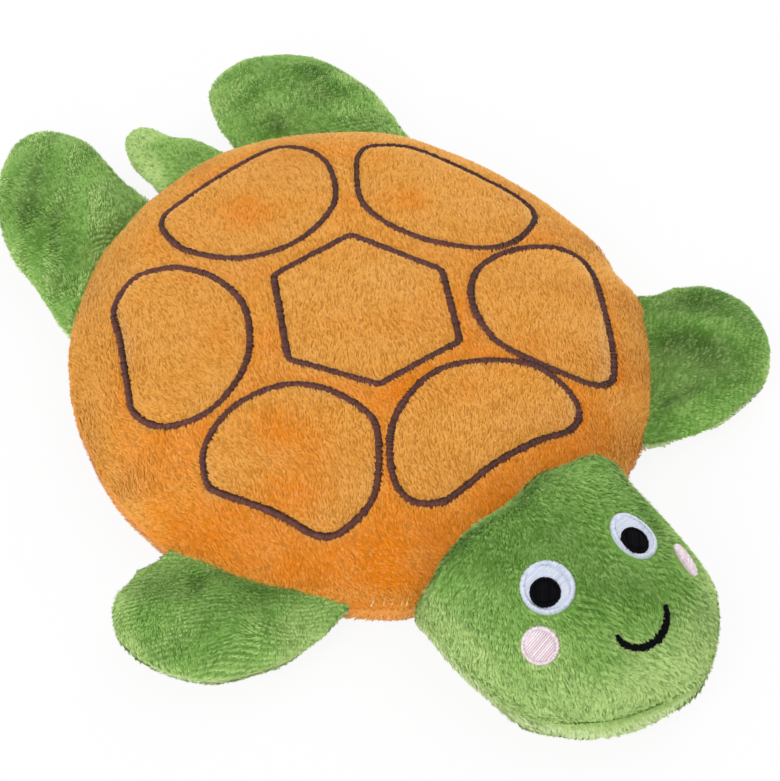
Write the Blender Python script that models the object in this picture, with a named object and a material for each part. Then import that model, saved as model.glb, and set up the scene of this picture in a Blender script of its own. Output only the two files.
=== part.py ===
"""Plush turtle, a flat stuffed toy that lies on its belly.

The turtle faces -Y, its left side is +X and +Z is up. The origin lies on the ground under the
middle of the shell. Each stuffed body is a top panel and a bottom panel of plush cloth, which meet
at a seam all round, with a filling inside. The lengths are metres.
"""
import math

import bpy
from mathutils import Euler, Vector

# Cloth and sewing
CLOTH_THICKNESS = 0.0020
SEAM_GAP = 0.0003
FILLING_GAP = 0.0004
THREAD_GAP = 0.0003
FLOOR_GAP = 0.0003
REST_CUT = 0.0005

# Shell
SHELL_HALF_WIDTH = 0.0750
SHELL_HALF_LENGTH = 0.0803
SEAM_HEIGHT = 0.0088
SHELL_RISE = 0.0219

# Head
HEAD_HALF_WIDTH = 0.0340
HEAD_FRONT = 0.0493
HEAD_TUCK = 0.0156
HEAD_SETBACK = 0.0027
HEAD_OFFSET = -0.0054
HEAD_RISE = 0.0255
HEAD_TURN = math.radians(-1.8)
NECK_UP = math.radians(5.0)
NECK_DOWN = math.radians(30.0)
NECK_SPARE = math.radians(2.0)

# Face
FACE_OFFSET = 0.0013
EYE_DIAMETER = 0.0130
EYE_BORDER = 0.0014
EYE_RAISE = 0.0008
PUPIL_DIAMETER = 0.0070
PUPIL_SIDE_SHIFT = -0.0009
PUPIL_DROP = 0.0011
CHEEK_DIAMETER = 0.0082
CHEEK_RAISE = 0.0007
PATCH_EDGE = 0.0004
MOUTH_HALF_WIDTH = 0.0073
MOUTH_DEPTH = 0.0050
MOUTH_LINE = 0.0020

# Shell embroidery
SCUTE_LINE = 0.0019
SCUTE_RAISE = 0.0008
HEXAGON_FILLET = 0.0020

# Flippers and tail
FRONT_LEFT_LENGTH = 0.0360
FRONT_RIGHT_LENGTH = 0.0328
REAR_LEFT_LENGTH = 0.0452
REAR_RIGHT_LENGTH = 0.0540
FRONT_RISE = 0.0085
REAR_RISE = 0.0092
TAIL_LENGTH = 0.0268
TAIL_RISE = 0.0062
TAIL_DROP = 0.0056

# Closing stitches
STITCH_COUNT = 5
STITCH_LENGTH = 0.0034
STITCH_WIDTH = 0.0006
STITCH_LEAN = 0.0010

# Shape of the swelling bodies: height share = (1 - reach ** power) ** roundness
SHELL_SHARES = (3.0, 0.545)
BELLY_SHARES = (3.0, 0.5)
HEAD_SHARES = (3.48, 0.783)
BLADE_SHARES = (2.2, 0.5)
ROOT_SHARES = (2.0, 1.3)
HEAD_SQUARENESS = 2.57

# Facets
SHELL_STEPS = 56
SHELL_RINGS = 8
BELLY_RINGS = 5
INSIDE_RINGS = 4
HEAD_STEPS = 40
HEAD_RINGS = 7
CHIN_RINGS = 4
ROOT_STEPS = 6
BLADE_STEPS = 18
SOFT_STEPS = 4
BLADE_RINGS = 4
BLADE_INSIDE_RINGS = 2
SCUTE_STEPS = 36
CORNER_STEPS = 3
PATCH_STEPS = 24
PUPIL_STEPS = 18
MOUTH_STEPS = 16
NECK_CUT_STEPS = (24, 7, 9)
NECK_SCAN_STEPS = 400
NECK_TURN_STEPS = 10

# Room for the shell behind the head: rim angles in degrees and shares of the rim
NECK_CUT_RIM = (-150.0, -30.0)
NECK_OUTER_SHARE = 1.1
NECK_INNER_SHARE = 0.6
NECK_BACK_SHARE = 0.5

# Places on the head, as shares of its half width and of its front length
EYE_SHARE = (0.386, -0.363)
CHEEK_SHARE = (0.629, -0.548)
MOUTH_SHARE = (0.0, -0.710)

# Hexagon and scutes, as shares of the shell's half width and half length
HEXAGON_SHARES = ((0.165, 0.250), (0.336, -0.060), (0.167, -0.318))
REAR_SCUTE_SHARES = (
    (0.00, 0.325), (0.20, 0.390), (0.33, 0.540), (0.33, 0.680), (0.25, 0.780),
    (0.05, 0.775), (-0.15, 0.765), (-0.28, 0.755), (-0.34, 0.650), (-0.31, 0.520), (-0.19, 0.385),
)
FRONT_SCUTE_SHARES = (
    (0.00, -0.366), (0.17, -0.410), (0.30, -0.520), (0.35, -0.630), (0.345, -0.710),
    (0.27, -0.755), (0.15, -0.735), (-0.02, -0.715), (-0.15, -0.735), (-0.26, -0.735),
    (-0.33, -0.660), (-0.32, -0.560), (-0.20, -0.430),
)
FRONT_LEFT_SCUTE_SHARES = (
    (0.42, -0.125), (0.56, -0.098), (0.72, -0.130), (0.80, -0.200), (0.80, -0.260),
    (0.71, -0.435), (0.61, -0.600), (0.52, -0.672), (0.42, -0.620), (0.30, -0.430),
    (0.275, -0.330), (0.32, -0.210),
)
FRONT_RIGHT_SCUTE_SHARES = (
    (-0.41, -0.125), (-0.58, -0.088), (-0.73, -0.135), (-0.80, -0.220), (-0.785, -0.290),
    (-0.70, -0.460), (-0.63, -0.590), (-0.53, -0.630), (-0.40, -0.590), (-0.28, -0.430),
    (-0.255, -0.340), (-0.31, -0.215),
)
REAR_LEFT_SCUTE_SHARES = (
    (0.53, 0.593), (0.66, 0.505), (0.76, 0.320), (0.815, 0.125), (0.79, 0.010),
    (0.64, -0.080), (0.50, -0.030), (0.35, 0.130), (0.285, 0.325), (0.36, 0.520), (0.45, 0.585),
)
REAR_RIGHT_SCUTE_SHARES = (
    (-0.53, 0.565), (-0.64, 0.523), (-0.72, 0.395), (-0.79, 0.240), (-0.820, 0.120),
    (-0.78, -0.012), (-0.63, -0.058), (-0.44, 0.020), (-0.32, 0.190), (-0.31, 0.350),
    (-0.36, 0.485), (-0.435, 0.540),
)

# Blade outlines, as shares of a blade's length and of half its root
FRONT_LEFT_BLADE_SHARES = (
    (0.38, -1.12), (0.68, -1.10), (0.89, -0.90), (1.00, -0.42), (0.92, 0.14), (0.68, 0.56), (0.30, 0.92),
)
FRONT_RIGHT_BLADE_SHARES = (
    (0.26, -1.26), (0.56, -1.36), (0.86, -1.10), (0.98, -0.54), (0.92, 0.10), (0.62, 0.54), (0.28, 0.90),
)
REAR_LEFT_BLADE_SHARES = (
    (0.30, -1.18), (0.60, -1.05), (0.86, -0.72), (1.00, -0.03), (0.88, 0.48), (0.55, 0.76),
)
REAR_RIGHT_BLADE_SHARES = (
    (0.10, -0.92), (0.40, -0.80), (0.74, -0.74), (0.95, -0.38), (1.00, 0.02), (0.88, 0.45), (0.52, 0.72),
)
TAIL_BLADE_SHARES = (
    (0.25, -0.75), (0.62, -0.30), (0.93, 0.04), (1.00, 0.35), (0.88, 0.76), (0.60, 1.00), (0.28, 1.05),
)

# name, side, rim angles in degrees, length, rise, heading in degrees, outline, middle
FLIPPERS = (
    ("front_left_flipper", 1, (-21.2, -56.5), FRONT_LEFT_LENGTH, FRONT_RISE, 0.0,
     FRONT_LEFT_BLADE_SHARES, (0.50, -0.20)),
    ("front_right_flipper", -1, (-16.7, -49.3), FRONT_RIGHT_LENGTH, FRONT_RISE, 0.0,
     FRONT_RIGHT_BLADE_SHARES, (0.50, -0.20)),
    ("rear_left_flipper", 1, (41.3, 76.8), REAR_LEFT_LENGTH, REAR_RISE, -32.7,
     REAR_LEFT_BLADE_SHARES, (0.45, -0.12)),
    ("rear_right_flipper", -1, (39.1, 79.3), REAR_RIGHT_LENGTH, REAR_RISE, -43.0,
     REAR_RIGHT_BLADE_SHARES, (0.45, -0.12)),
)
TAIL_RIM = (80.0, 98.0)
TAIL_MIDDLE = (0.34, 0.10)
STITCH_RIM = (-128.8, -121.6)

# Colours with roughness
ORANGE = ((0.76, 0.34, 0.08), 0.95)
TAN = ((0.78, 0.42, 0.18), 0.95)
GREEN = ((0.13, 0.29, 0.06), 0.95)
LIME = ((0.26, 0.43, 0.10), 0.95)
BROWN = ((0.10, 0.035, 0.022), 0.6)
WHITE = ((0.78, 0.80, 0.86), 0.6)
BLACK = ((0.008, 0.008, 0.011), 0.55)
PINK = ((0.82, 0.56, 0.60), 0.6)
CREAM = ((0.80, 0.76, 0.66), 0.7)
FLUFF = ((0.86, 0.86, 0.84), 1.0)


def height_share(reach, shares):
    """Share of the full rise at a reach from 0 in the middle to 1 at the seam."""
    power, roundness = shares
    return max(0.0, 1 - reach ** power) ** roundness


def ring_shares(count, inner=0.0):
    """Reaches of the rings from the seam inward, closer together near the seam."""
    return [inner + (1 - inner) * math.sin(math.pi / 2 * (count - k) / count) for k in range(count)]


def mix(low, high, share):
    return low + (high - low) * share


def finish(name, look):
    colour, roughness = look
    material = bpy.data.materials.new(name + "_finish")
    material.use_nodes = True
    shader = material.node_tree.nodes["Principled BSDF"]
    shader.inputs["Base Color"].default_value = (*colour, 1)
    shader.inputs["Roughness"].default_value = roughness
    shader.inputs["Metallic"].default_value = 0.0
    return material


def hinge(name, place):
    """An empty on a joint's axis that carries a moving body."""
    empty = bpy.data.objects.new(name, None)
    empty.location = place
    bpy.context.collection.objects.link(empty)
    return empty


def add_piece(name, points, faces, look, carrier=None):
    """One closed body. The points are world places; a carried piece has its origin on its hinge."""
    origin = carrier.location if carrier else Vector((0, 0, 0))
    mesh = bpy.data.meshes.new(name)
    mesh.from_pydata([point - origin for point in points], [], faces)
    mesh.validate()
    mesh.shade_smooth()
    mesh.set_sharp_from_angle(angle=math.radians(40))
    mesh.materials.append(finish(name, look))
    piece = bpy.data.objects.new(name, mesh)
    piece.parent = carrier
    bpy.context.collection.objects.link(piece)
    return piece


class Pillow:
    """A stuffed body: an outline seen from above round a middle point, swelling up and down."""

    def __init__(self, middle, outline, seam, up, down, up_shares, down_shares):
        self.middle = Vector((middle.x, middle.y, 0))
        self.arms = [Vector((point.x, point.y, 0)) - self.middle for point in outline]
        self.seam = seam
        self.up = up
        self.down = down
        self.up_shares = up_shares
        self.down_shares = down_shares

    def ring(self, reach, way, inset, lift):
        """One ring of points, drawn inside the outer surface by inset."""
        shares = self.up_shares if way > 0 else self.down_shares
        rise = (self.up if way > 0 else self.down) - inset
        points = []
        for arm, share in zip(self.arms, shares):
            flat = self.middle + arm * (reach * (1 - inset / arm.length))
            height = self.seam + way * (lift + (rise - lift) * height_share(reach, share))
            points.append(Vector((flat.x, flat.y, max(height, inset))))
        return points

    def apex(self, way, inset):
        rise = (self.up if way > 0 else self.down) - inset
        return Vector((self.middle.x, self.middle.y, max(self.seam + way * rise, inset)))


def sheet_faces(first, rings, steps, apex, outward):
    """Triangles over rings of points that close on an apex."""
    faces = []
    for ring in range(rings - 1):
        for step in range(steps):
            after = (step + 1) % steps
            a = first + ring * steps + step
            b = first + ring * steps + after
            c = first + (ring + 1) * steps + after
            d = first + (ring + 1) * steps + step
            faces += [(a, b, c), (a, c, d)]
    last = first + (rings - 1) * steps
    faces += [(last + step, last + (step + 1) % steps, apex) for step in range(steps)]
    return faces if outward else [face[::-1] for face in faces]


def add_panel(name, pillow, way, outer_reaches, inner_reaches, look, carrier=None):
    """A bowl of cloth with a flat edge at the seam."""
    steps = len(pillow.arms)
    half_gap = SEAM_GAP / 2
    points = []
    for reach in outer_reaches:
        points += pillow.ring(reach, way, 0.0, half_gap)
    for reach in inner_reaches:
        points += pillow.ring(reach, way, CLOTH_THICKNESS, half_gap)
    points.append(pillow.apex(way, 0.0))
    points.append(pillow.apex(way, CLOTH_THICKNESS))
    inner = len(outer_reaches) * steps
    faces = sheet_faces(0, len(outer_reaches), steps, len(points) - 2, way > 0)
    faces += sheet_faces(inner, len(inner_reaches), steps, len(points) - 1, way < 0)
    for step in range(steps):
        after = (step + 1) % steps
        edge = [(step, inner + step, inner + after), (step, inner + after, after)]
        faces += edge if way > 0 else [face[::-1] for face in edge]
    return add_piece(name, points, faces, look, carrier)


def add_filling(name, pillow, up_reaches, down_reaches, carrier=None):
    """The stuffing, clear of both panels."""
    steps = len(pillow.arms)
    inset = CLOTH_THICKNESS + FILLING_GAP
    points = []
    for reach in up_reaches:
        points += pillow.ring(reach, 1, inset, 0.0)
    for reach in down_reaches[1:]:
        points += pillow.ring(reach, -1, inset, 0.0)
    points.append(pillow.apex(1, inset))
    points.append(pillow.apex(-1, inset))
    faces = sheet_faces(0, len(up_reaches), steps, len(points) - 2, True)
    lower = len(up_reaches) * steps
    faces += sheet_faces(lower, len(down_reaches) - 1, steps, len(points) - 1, False)
    for step in range(steps):
        after = (step + 1) % steps
        faces += [(step, lower + step, lower + after), (step, lower + after, after)]
    return add_piece(name, points, faces, FLUFF, carrier)


def rim_point(angle, clearance=0.0):
    """A place on the shell's seam, seen from above, at an angle in degrees from +X."""
    turn = math.radians(angle)
    across = (SHELL_HALF_WIDTH + clearance) * math.cos(turn)
    along = (SHELL_HALF_LENGTH + clearance) * math.sin(turn)
    return Vector((across, along, 0))


def spline(points, closed, per_span=8):
    """A smooth curve through all the points."""
    count = len(points)
    spans = count if closed else count - 1
    curve = []
    for span in range(spans):
        if closed:
            a, b, c, d = (points[(span + k) % count] for k in (-1, 0, 1, 2))
        else:
            a, b, c, d = (points[min(max(span + k, 0), count - 1)] for k in (-1, 0, 1, 2))
        for step in range(per_span):
            t = step / per_span
            curve.append(0.5 * (2 * b + (c - a) * t + (2 * a - 5 * b + 4 * c - d) * t ** 2
                                + (3 * b - a - 3 * c + d) * t ** 3))
    if not closed:
        curve.append(points[-1])
    return curve


def even_points(curve, count, closed):
    """Points at even distances along a curve."""
    path = curve + [curve[0]] if closed else curve
    travelled = [0.0]
    for before, after in zip(path, path[1:]):
        travelled.append(travelled[-1] + (after - before).length)
    last = count if closed else count - 1
    points = []
    span = 0
    for step in range(count):
        goal = travelled[-1] * step / last
        while span < len(path) - 2 and travelled[span + 1] < goal:
            span += 1
        share = (goal - travelled[span]) / (travelled[span + 1] - travelled[span])
        points.append(path[span].lerp(path[span + 1], share))
    return points


def shell_pillow():
    outline = [rim_point(360 * step / SHELL_STEPS) for step in range(SHELL_STEPS)]
    up_shares = [SHELL_SHARES] * SHELL_STEPS
    down_shares = [BELLY_SHARES] * SHELL_STEPS
    return Pillow(Vector((0, 0, 0)), outline, SEAM_HEIGHT, SHELL_RISE, SEAM_HEIGHT + REST_CUT,
                  up_shares, down_shares)


def flat_reach():
    """Reach at which the belly has come down to the ground."""
    power, roundness = BELLY_SHARES
    return (1 - (SEAM_HEIGHT / (SEAM_HEIGHT + REST_CUT)) ** (1 / roundness)) ** (1 / power)


def head_middle():
    return Vector((HEAD_OFFSET, HEAD_SETBACK - SHELL_HALF_LENGTH, 0))


def head_point(across, along):
    """A place on the plan of the head, from places across and along it."""
    turned = Vector((across, along, 0))
    turned.rotate(Euler((0, 0, HEAD_TURN)))
    return head_middle() + turned


def head_pillow():
    outline = []
    bend = 2 / HEAD_SQUARENESS
    for step in range(HEAD_STEPS):
        turn = math.tau * step / HEAD_STEPS
        across = math.copysign(abs(math.cos(turn)) ** bend, math.cos(turn)) * HEAD_HALF_WIDTH
        length = HEAD_TUCK if math.sin(turn) > 0 else HEAD_FRONT
        along = math.copysign(abs(math.sin(turn)) ** bend, math.sin(turn)) * length
        outline.append(head_point(across, along))
    up_shares = [HEAD_SHARES] * HEAD_STEPS
    down_shares = [BELLY_SHARES] * HEAD_STEPS
    return Pillow(head_middle(), outline, SEAM_HEIGHT, HEAD_RISE, SEAM_HEIGHT - FLOOR_GAP,
                  up_shares, down_shares)


def head_surface(across, along):
    """Place and outward direction on top of the head."""
    bend = HEAD_SQUARENESS
    power, roundness = HEAD_SHARES
    length = HEAD_TUCK if along > 0 else HEAD_FRONT
    x = abs(across) / HEAD_HALF_WIDTH
    y = abs(along) / length
    reach = (x ** bend + y ** bend) ** (1 / bend)
    slope = -HEAD_RISE * power * roundness * reach ** (power - bend)
    slope *= (1 - reach ** power) ** (roundness - 1)
    tilt_x = math.copysign(slope * x ** (bend - 1) / HEAD_HALF_WIDTH, -across)
    tilt_y = math.copysign(slope * y ** (bend - 1) / length, -along)
    place = head_point(across, along)
    place.z = SEAM_HEIGHT + HEAD_RISE * height_share(reach, HEAD_SHARES)
    outward = Vector((-abs(tilt_x) * math.copysign(1, -across), -abs(tilt_y) * math.copysign(1, -along), 1))
    outward.rotate(Euler((0, 0, HEAD_TURN)))
    return place, outward.normalized()


def shell_surface(across, along):
    """Place and outward direction on top of the shell."""
    power, roundness = SHELL_SHARES
    x = across / SHELL_HALF_WIDTH
    y = along / SHELL_HALF_LENGTH
    reach = math.hypot(x, y)
    slope = SHELL_RISE * power * roundness * reach ** (power - 2) * (1 - reach ** power) ** (roundness - 1)
    outward = Vector((slope * x / SHELL_HALF_WIDTH, slope * y / SHELL_HALF_LENGTH, 1)).normalized()
    place = Vector((across, along, SEAM_HEIGHT + SHELL_RISE * height_share(reach, SHELL_SHARES)))
    return place, outward


def add_shell():
    pillow = shell_pillow()
    belly_reaches = ring_shares(BELLY_RINGS, flat_reach()) + [flat_reach()]
    inside = ring_shares(INSIDE_RINGS)
    add_panel("shell_top_panel", pillow, 1, ring_shares(SHELL_RINGS), inside, ORANGE)
    add_panel("shell_bottom_panel", pillow, -1, belly_reaches, inside, TAN)
    add_filling("shell_filling", pillow, inside, inside)


def ribbon(path, surface, widths, closed):
    """Raised stitching along a path of places across and along a body."""
    laid = [surface(point.x, point.y) for point in path]
    count = len(laid)
    points = []
    for index, (place, outward) in enumerate(laid):
        before = laid[index - 1][0] if closed or index else place
        after = laid[(index + 1) % count][0] if closed or index < count - 1 else place
        sideways = outward.cross(after - before).normalized()
        half = widths[index] / 2
        foot = place + outward * THREAD_GAP
        crown = foot + outward * SCUTE_RAISE
        points += [foot + sideways * half, foot - sideways * half,
                   crown - sideways * (half / 2), crown + sideways * (half / 2)]
    faces = []
    for index in range(count if closed else count - 1):
        here = index * 4
        there = (index + 1) % count * 4
        for side in range(4):
            turn = (side + 1) % 4
            faces += [(there + turn, here + turn, here + side), (there + side, there + turn, here + side)]
    if not closed:
        end = (count - 1) * 4
        faces += [(0, 1, 2, 3), (end + 3, end + 2, end + 1, end)]
    return points, faces


def add_line(name, path, surface, widths, look, closed=True, carrier=None):
    points, faces = ribbon(path, surface, widths, closed)
    return add_piece(name, points, faces, look, carrier)


def rounded_corners(corners, radius):
    """A closed outline with straight sides and rounded corners."""
    outline = []
    count = len(corners)
    for index, corner in enumerate(corners):
        to_last = (corners[index - 1] - corner).normalized()
        to_next = (corners[(index + 1) % count] - corner).normalized()
        reach = radius / math.tan(to_last.angle(to_next) / 2)
        for step in range(CORNER_STEPS + 1):
            share = step / CORNER_STEPS
            first = corner + to_last * reach * (1 - share)
            second = corner + to_next * reach * share
            outline.append(first.lerp(second, share))
        side = corners[(index + 1) % count] - corner
        outline.append(corner + side / 2)
    return outline


def on_shell(shares):
    return [Vector((x * SHELL_HALF_WIDTH, y * SHELL_HALF_LENGTH, 0)) for x, y in shares]


def add_scutes():
    right_half = [(-x, y) for x, y in reversed(HEXAGON_SHARES)]
    hexagon = rounded_corners(on_shell(list(HEXAGON_SHARES) + right_half), HEXAGON_FILLET)
    widths = [SCUTE_LINE] * len(hexagon)
    add_line("scute_line_centre", hexagon, shell_surface, widths, BROWN)
    round_scutes = (
        ("scute_line_rear", REAR_SCUTE_SHARES),
        ("scute_line_front", FRONT_SCUTE_SHARES),
        ("scute_line_front_left", FRONT_LEFT_SCUTE_SHARES),
        ("scute_line_front_right", FRONT_RIGHT_SCUTE_SHARES),
        ("scute_line_rear_left", REAR_LEFT_SCUTE_SHARES),
        ("scute_line_rear_right", REAR_RIGHT_SCUTE_SHARES),
    )
    for name, shares in round_scutes:
        path = even_points(spline(on_shell(shares), True), SCUTE_STEPS, True)
        add_line(name, path, shell_surface, [SCUTE_LINE] * SCUTE_STEPS, BROWN)


def add_closing_stitches():
    """Hand stitches across the seam where the shell was closed after stuffing."""
    first, last = STITCH_RIM
    corners = ((-1, -1), (1, -1), (1, 1), (-1, 1))
    faces = ((3, 2, 1, 0), (4, 5, 6, 7), (0, 1, 5, 4), (1, 2, 6, 5), (2, 3, 7, 6), (3, 0, 4, 7))
    along = (rim_point(last) - rim_point(first)).normalized()
    for index in range(STITCH_COUNT):
        angle = mix(first, last, index / (STITCH_COUNT - 1))
        points = []
        for clearance in (SEAM_GAP, SEAM_GAP + STITCH_WIDTH):
            for side, end in corners:
                point = rim_point(angle, clearance)
                point += along * (side * STITCH_WIDTH / 2 + end * STITCH_LEAN / 2)
                point.z = SEAM_HEIGHT + end * STITCH_LENGTH / 2
                points.append(point)
        add_piece("closing_stitch_%d" % (index + 1), points, faces, CREAM)


def inside_shell(point, clearance):
    """Whether a point lies in the shell or less than a clearance from it."""
    reach = math.hypot(point.x / (SHELL_HALF_WIDTH + clearance), point.y / (SHELL_HALF_LENGTH + clearance))
    if reach >= 1:
        return False
    if point.z > SEAM_HEIGHT:
        return point.z < SEAM_HEIGHT + (SHELL_RISE + clearance) * height_share(reach, SHELL_SHARES)
    return point.z > SEAM_HEIGHT - (SEAM_HEIGHT + REST_CUT + clearance) * height_share(reach, BELLY_SHARES)


def neck_reach(angle, height, axis, clearance):
    """Share of the rim that the shell comes out to at a height, over all the turns of the head."""
    highest, lowest = -NECK_UP - NECK_SPARE, NECK_DOWN + NECK_SPARE
    turns = [Euler((mix(highest, lowest, step / NECK_TURN_STEPS), 0, 0)) for step in range(NECK_TURN_STEPS + 1)]
    for step in range(NECK_SCAN_STEPS):
        reach = mix(NECK_OUTER_SHARE, NECK_INNER_SHARE, step / NECK_SCAN_STEPS)
        place = rim_point(angle) * reach
        place.z = height
        for turn in turns:
            arm = place - axis
            arm.rotate(turn)
            if inside_shell(axis + arm, clearance):
                return reach
    return NECK_INNER_SHARE


def neck_cutter(axis, clearance):
    """The room that the shell takes behind the head, which cuts the back of the head."""
    columns, rows_under, rows_over = NECK_CUT_STEPS
    rows = rows_under + rows_over
    heights = [mix(-REST_CUT, SEAM_HEIGHT, row / rows_under) for row in range(rows_under)]
    heights += [mix(SEAM_HEIGHT, SEAM_HEIGHT + SHELL_RISE, row / rows_over) for row in range(rows_over + 1)]
    points = []
    for height in heights:
        for column in range(columns + 1):
            angle = mix(*NECK_CUT_RIM, column / columns)
            point = rim_point(angle) * neck_reach(angle, height, axis, clearance)
            points.append(Vector((point.x, point.y, height)))
    back = len(points)
    for height in heights:
        for column in range(columns + 1):
            point = rim_point(mix(*NECK_CUT_RIM, column / columns)) * NECK_BACK_SHARE
            points.append(Vector((point.x, point.y, height)))
    width = columns + 1
    faces = []
    for row in range(rows):
        for column in range(columns):
            a = row * width + column
            front = (a, a + 1, a + 1 + width, a + width)
            faces += [(front[0], front[1], front[2]), (front[0], front[2], front[3])]
            faces.append(tuple(corner + back for corner in reversed(front)))
        for a, way in ((row * width, 1), (row * width + columns, -1)):
            side = (a, a + width, a + width + back, a + back)
            faces.append(side if way > 0 else side[::-1])
    for column in range(columns):
        for a, way in ((column, -1), (rows * width + column, 1)):
            cap = (a, a + 1, a + 1 + back, a + back)
            faces.append(cap if way > 0 else cap[::-1])
    mesh = bpy.data.meshes.new("neck_cut")
    mesh.from_pydata(points, [], faces)
    cutter = bpy.data.objects.new("neck_cut", mesh)
    cutter.hide_render = True
    cutter.display_type = "WIRE"
    bpy.context.collection.objects.link(cutter)
    return cutter


def cut_neck(piece, cutter):
    cut = piece.modifiers.new("neck", "BOOLEAN")
    cut.operation = "DIFFERENCE"
    cut.object = cutter


def add_head():
    axis = Vector((HEAD_OFFSET, -SHELL_HALF_LENGTH - SEAM_GAP, SEAM_HEIGHT))
    carrier = hinge("neck_axis", axis)
    pillow = head_pillow()
    inside = ring_shares(INSIDE_RINGS)
    top = add_panel("head_top_panel", pillow, 1, ring_shares(HEAD_RINGS), inside, GREEN, carrier)
    bottom = add_panel("head_bottom_panel", pillow, -1, ring_shares(CHIN_RINGS), inside, LIME, carrier)
    filling = add_filling("head_filling", pillow, inside, inside, carrier)
    cloth_cutter = neck_cutter(axis, SEAM_GAP)
    cut_neck(top, cloth_cutter)
    cut_neck(bottom, cloth_cutter)
    cut_neck(filling, neck_cutter(axis, SEAM_GAP + CLOTH_THICKNESS))
    add_face(carrier)


def head_frame(across, along):
    """Place, outward direction and two directions along the cloth at a place on the head."""
    place, outward = head_surface(across, along)
    sideways = Vector((1, 0, 0))
    sideways.rotate(Euler((0, 0, HEAD_TURN)))
    sideways = (sideways - outward * sideways.dot(outward)).normalized()
    return place, outward, sideways, outward.cross(sideways)


def patch_point(across, along, sideways_reach, up_reach):
    """Place and outward direction on the head, at distances along the cloth from another place."""
    _, _, sideways, upward = head_frame(across, along)
    step = sideways * sideways_reach + upward * up_reach
    step.z = 0.0
    step.rotate(Euler((0, 0, -HEAD_TURN)))
    return head_surface(across + step.x, along + step.y)


def add_patch(name, centre, rings, steps, look, carrier, ringed=False):
    """A round patch of stitching, or a ringed one with a hole in it.

    Each ring is a shift sideways and up from the centre, a radius and the height of the stitching.
    """
    points = []
    for layer_share in (1, 0):
        for side_shift, up_shift, radius, height in rings:
            for step in range(steps):
                turn = math.tau * step / steps
                place, outward = patch_point(*centre, side_shift + radius * math.cos(turn),
                                             up_shift + radius * math.sin(turn))
                points.append(place + outward * (THREAD_GAP + layer_share * height))
    count = len(rings)
    foot = count * steps
    faces = []
    if ringed:
        joins = [(k * steps, (k + 1) * steps) for k in range(count - 1)]
        joins += [(foot - steps, foot + foot - steps)]
        joins += [(foot + (k + 1) * steps, foot + k * steps) for k in range(count - 1)]
    else:
        place, outward = patch_point(*centre, *rings[-1][:2])
        points.append(place + outward * (THREAD_GAP + rings[-1][3]))
        points.append(place + outward * THREAD_GAP)
        faces += sheet_faces(0, count, steps, len(points) - 2, True)
        faces += sheet_faces(foot, count, steps, len(points) - 1, False)
        joins = []
    for outer, inner in joins + [(foot, 0)]:
        for step in range(steps):
            after = (step + 1) % steps
            faces += [(outer + step, outer + after, inner + after), (outer + step, inner + after, inner + step)]
    return add_piece(name, points, faces, look, carrier)


def add_face(carrier):
    eye = EYE_DIAMETER / 2
    pupil = PUPIL_DIAMETER / 2
    cheek = CHEEK_DIAMETER / 2
    for name, side in (("left", 1), ("right", -1)):
        centre = (FACE_OFFSET + side * EYE_SHARE[0] * HEAD_HALF_WIDTH, EYE_SHARE[1] * HEAD_FRONT)
        white_rings = (
            (0.0, 0.0, eye, PATCH_EDGE),
            (0.0, 0.0, eye - EYE_BORDER / 2, EYE_RAISE + PATCH_EDGE),
            (0.0, 0.0, eye - EYE_BORDER, EYE_RAISE),
            (PUPIL_SIDE_SHIFT, -PUPIL_DROP, pupil + THREAD_GAP, EYE_RAISE),
        )
        add_patch(name + "_eye_white", centre, white_rings, PATCH_STEPS, WHITE, carrier, True)
        pupil_rings = (
            (PUPIL_SIDE_SHIFT, -PUPIL_DROP, pupil, EYE_RAISE),
            (PUPIL_SIDE_SHIFT, -PUPIL_DROP, pupil - PATCH_EDGE, EYE_RAISE + PATCH_EDGE),
            (PUPIL_SIDE_SHIFT, -PUPIL_DROP, pupil / 2, EYE_RAISE + PATCH_EDGE),
        )
        add_patch(name + "_pupil", centre, pupil_rings, PUPIL_STEPS, BLACK, carrier)
        blush = (FACE_OFFSET + side * CHEEK_SHARE[0] * HEAD_HALF_WIDTH, CHEEK_SHARE[1] * HEAD_FRONT)
        cheek_rings = (
            (0.0, 0.0, cheek, PATCH_EDGE),
            (0.0, 0.0, cheek - PATCH_EDGE, CHEEK_RAISE),
            (0.0, 0.0, cheek / 2, CHEEK_RAISE),
        )
        add_patch(name + "_cheek", blush, cheek_rings, PUPIL_STEPS, PINK, carrier)
    path = []
    widths = []
    for step in range(MOUTH_STEPS + 1):
        turn = math.pi * mix(0.03, 0.97, step / MOUTH_STEPS)
        across = FACE_OFFSET + MOUTH_SHARE[0] * HEAD_HALF_WIDTH - MOUTH_HALF_WIDTH * math.cos(turn)
        along = MOUTH_SHARE[1] * HEAD_FRONT - MOUTH_DEPTH * math.sin(turn)
        path.append(Vector((across, along, 0)))
        widths.append(MOUTH_LINE * mix(0.35, 1.0, math.sin(turn)))
    add_line("mouth", path, head_surface, widths, BLACK, False, carrier)


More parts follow.
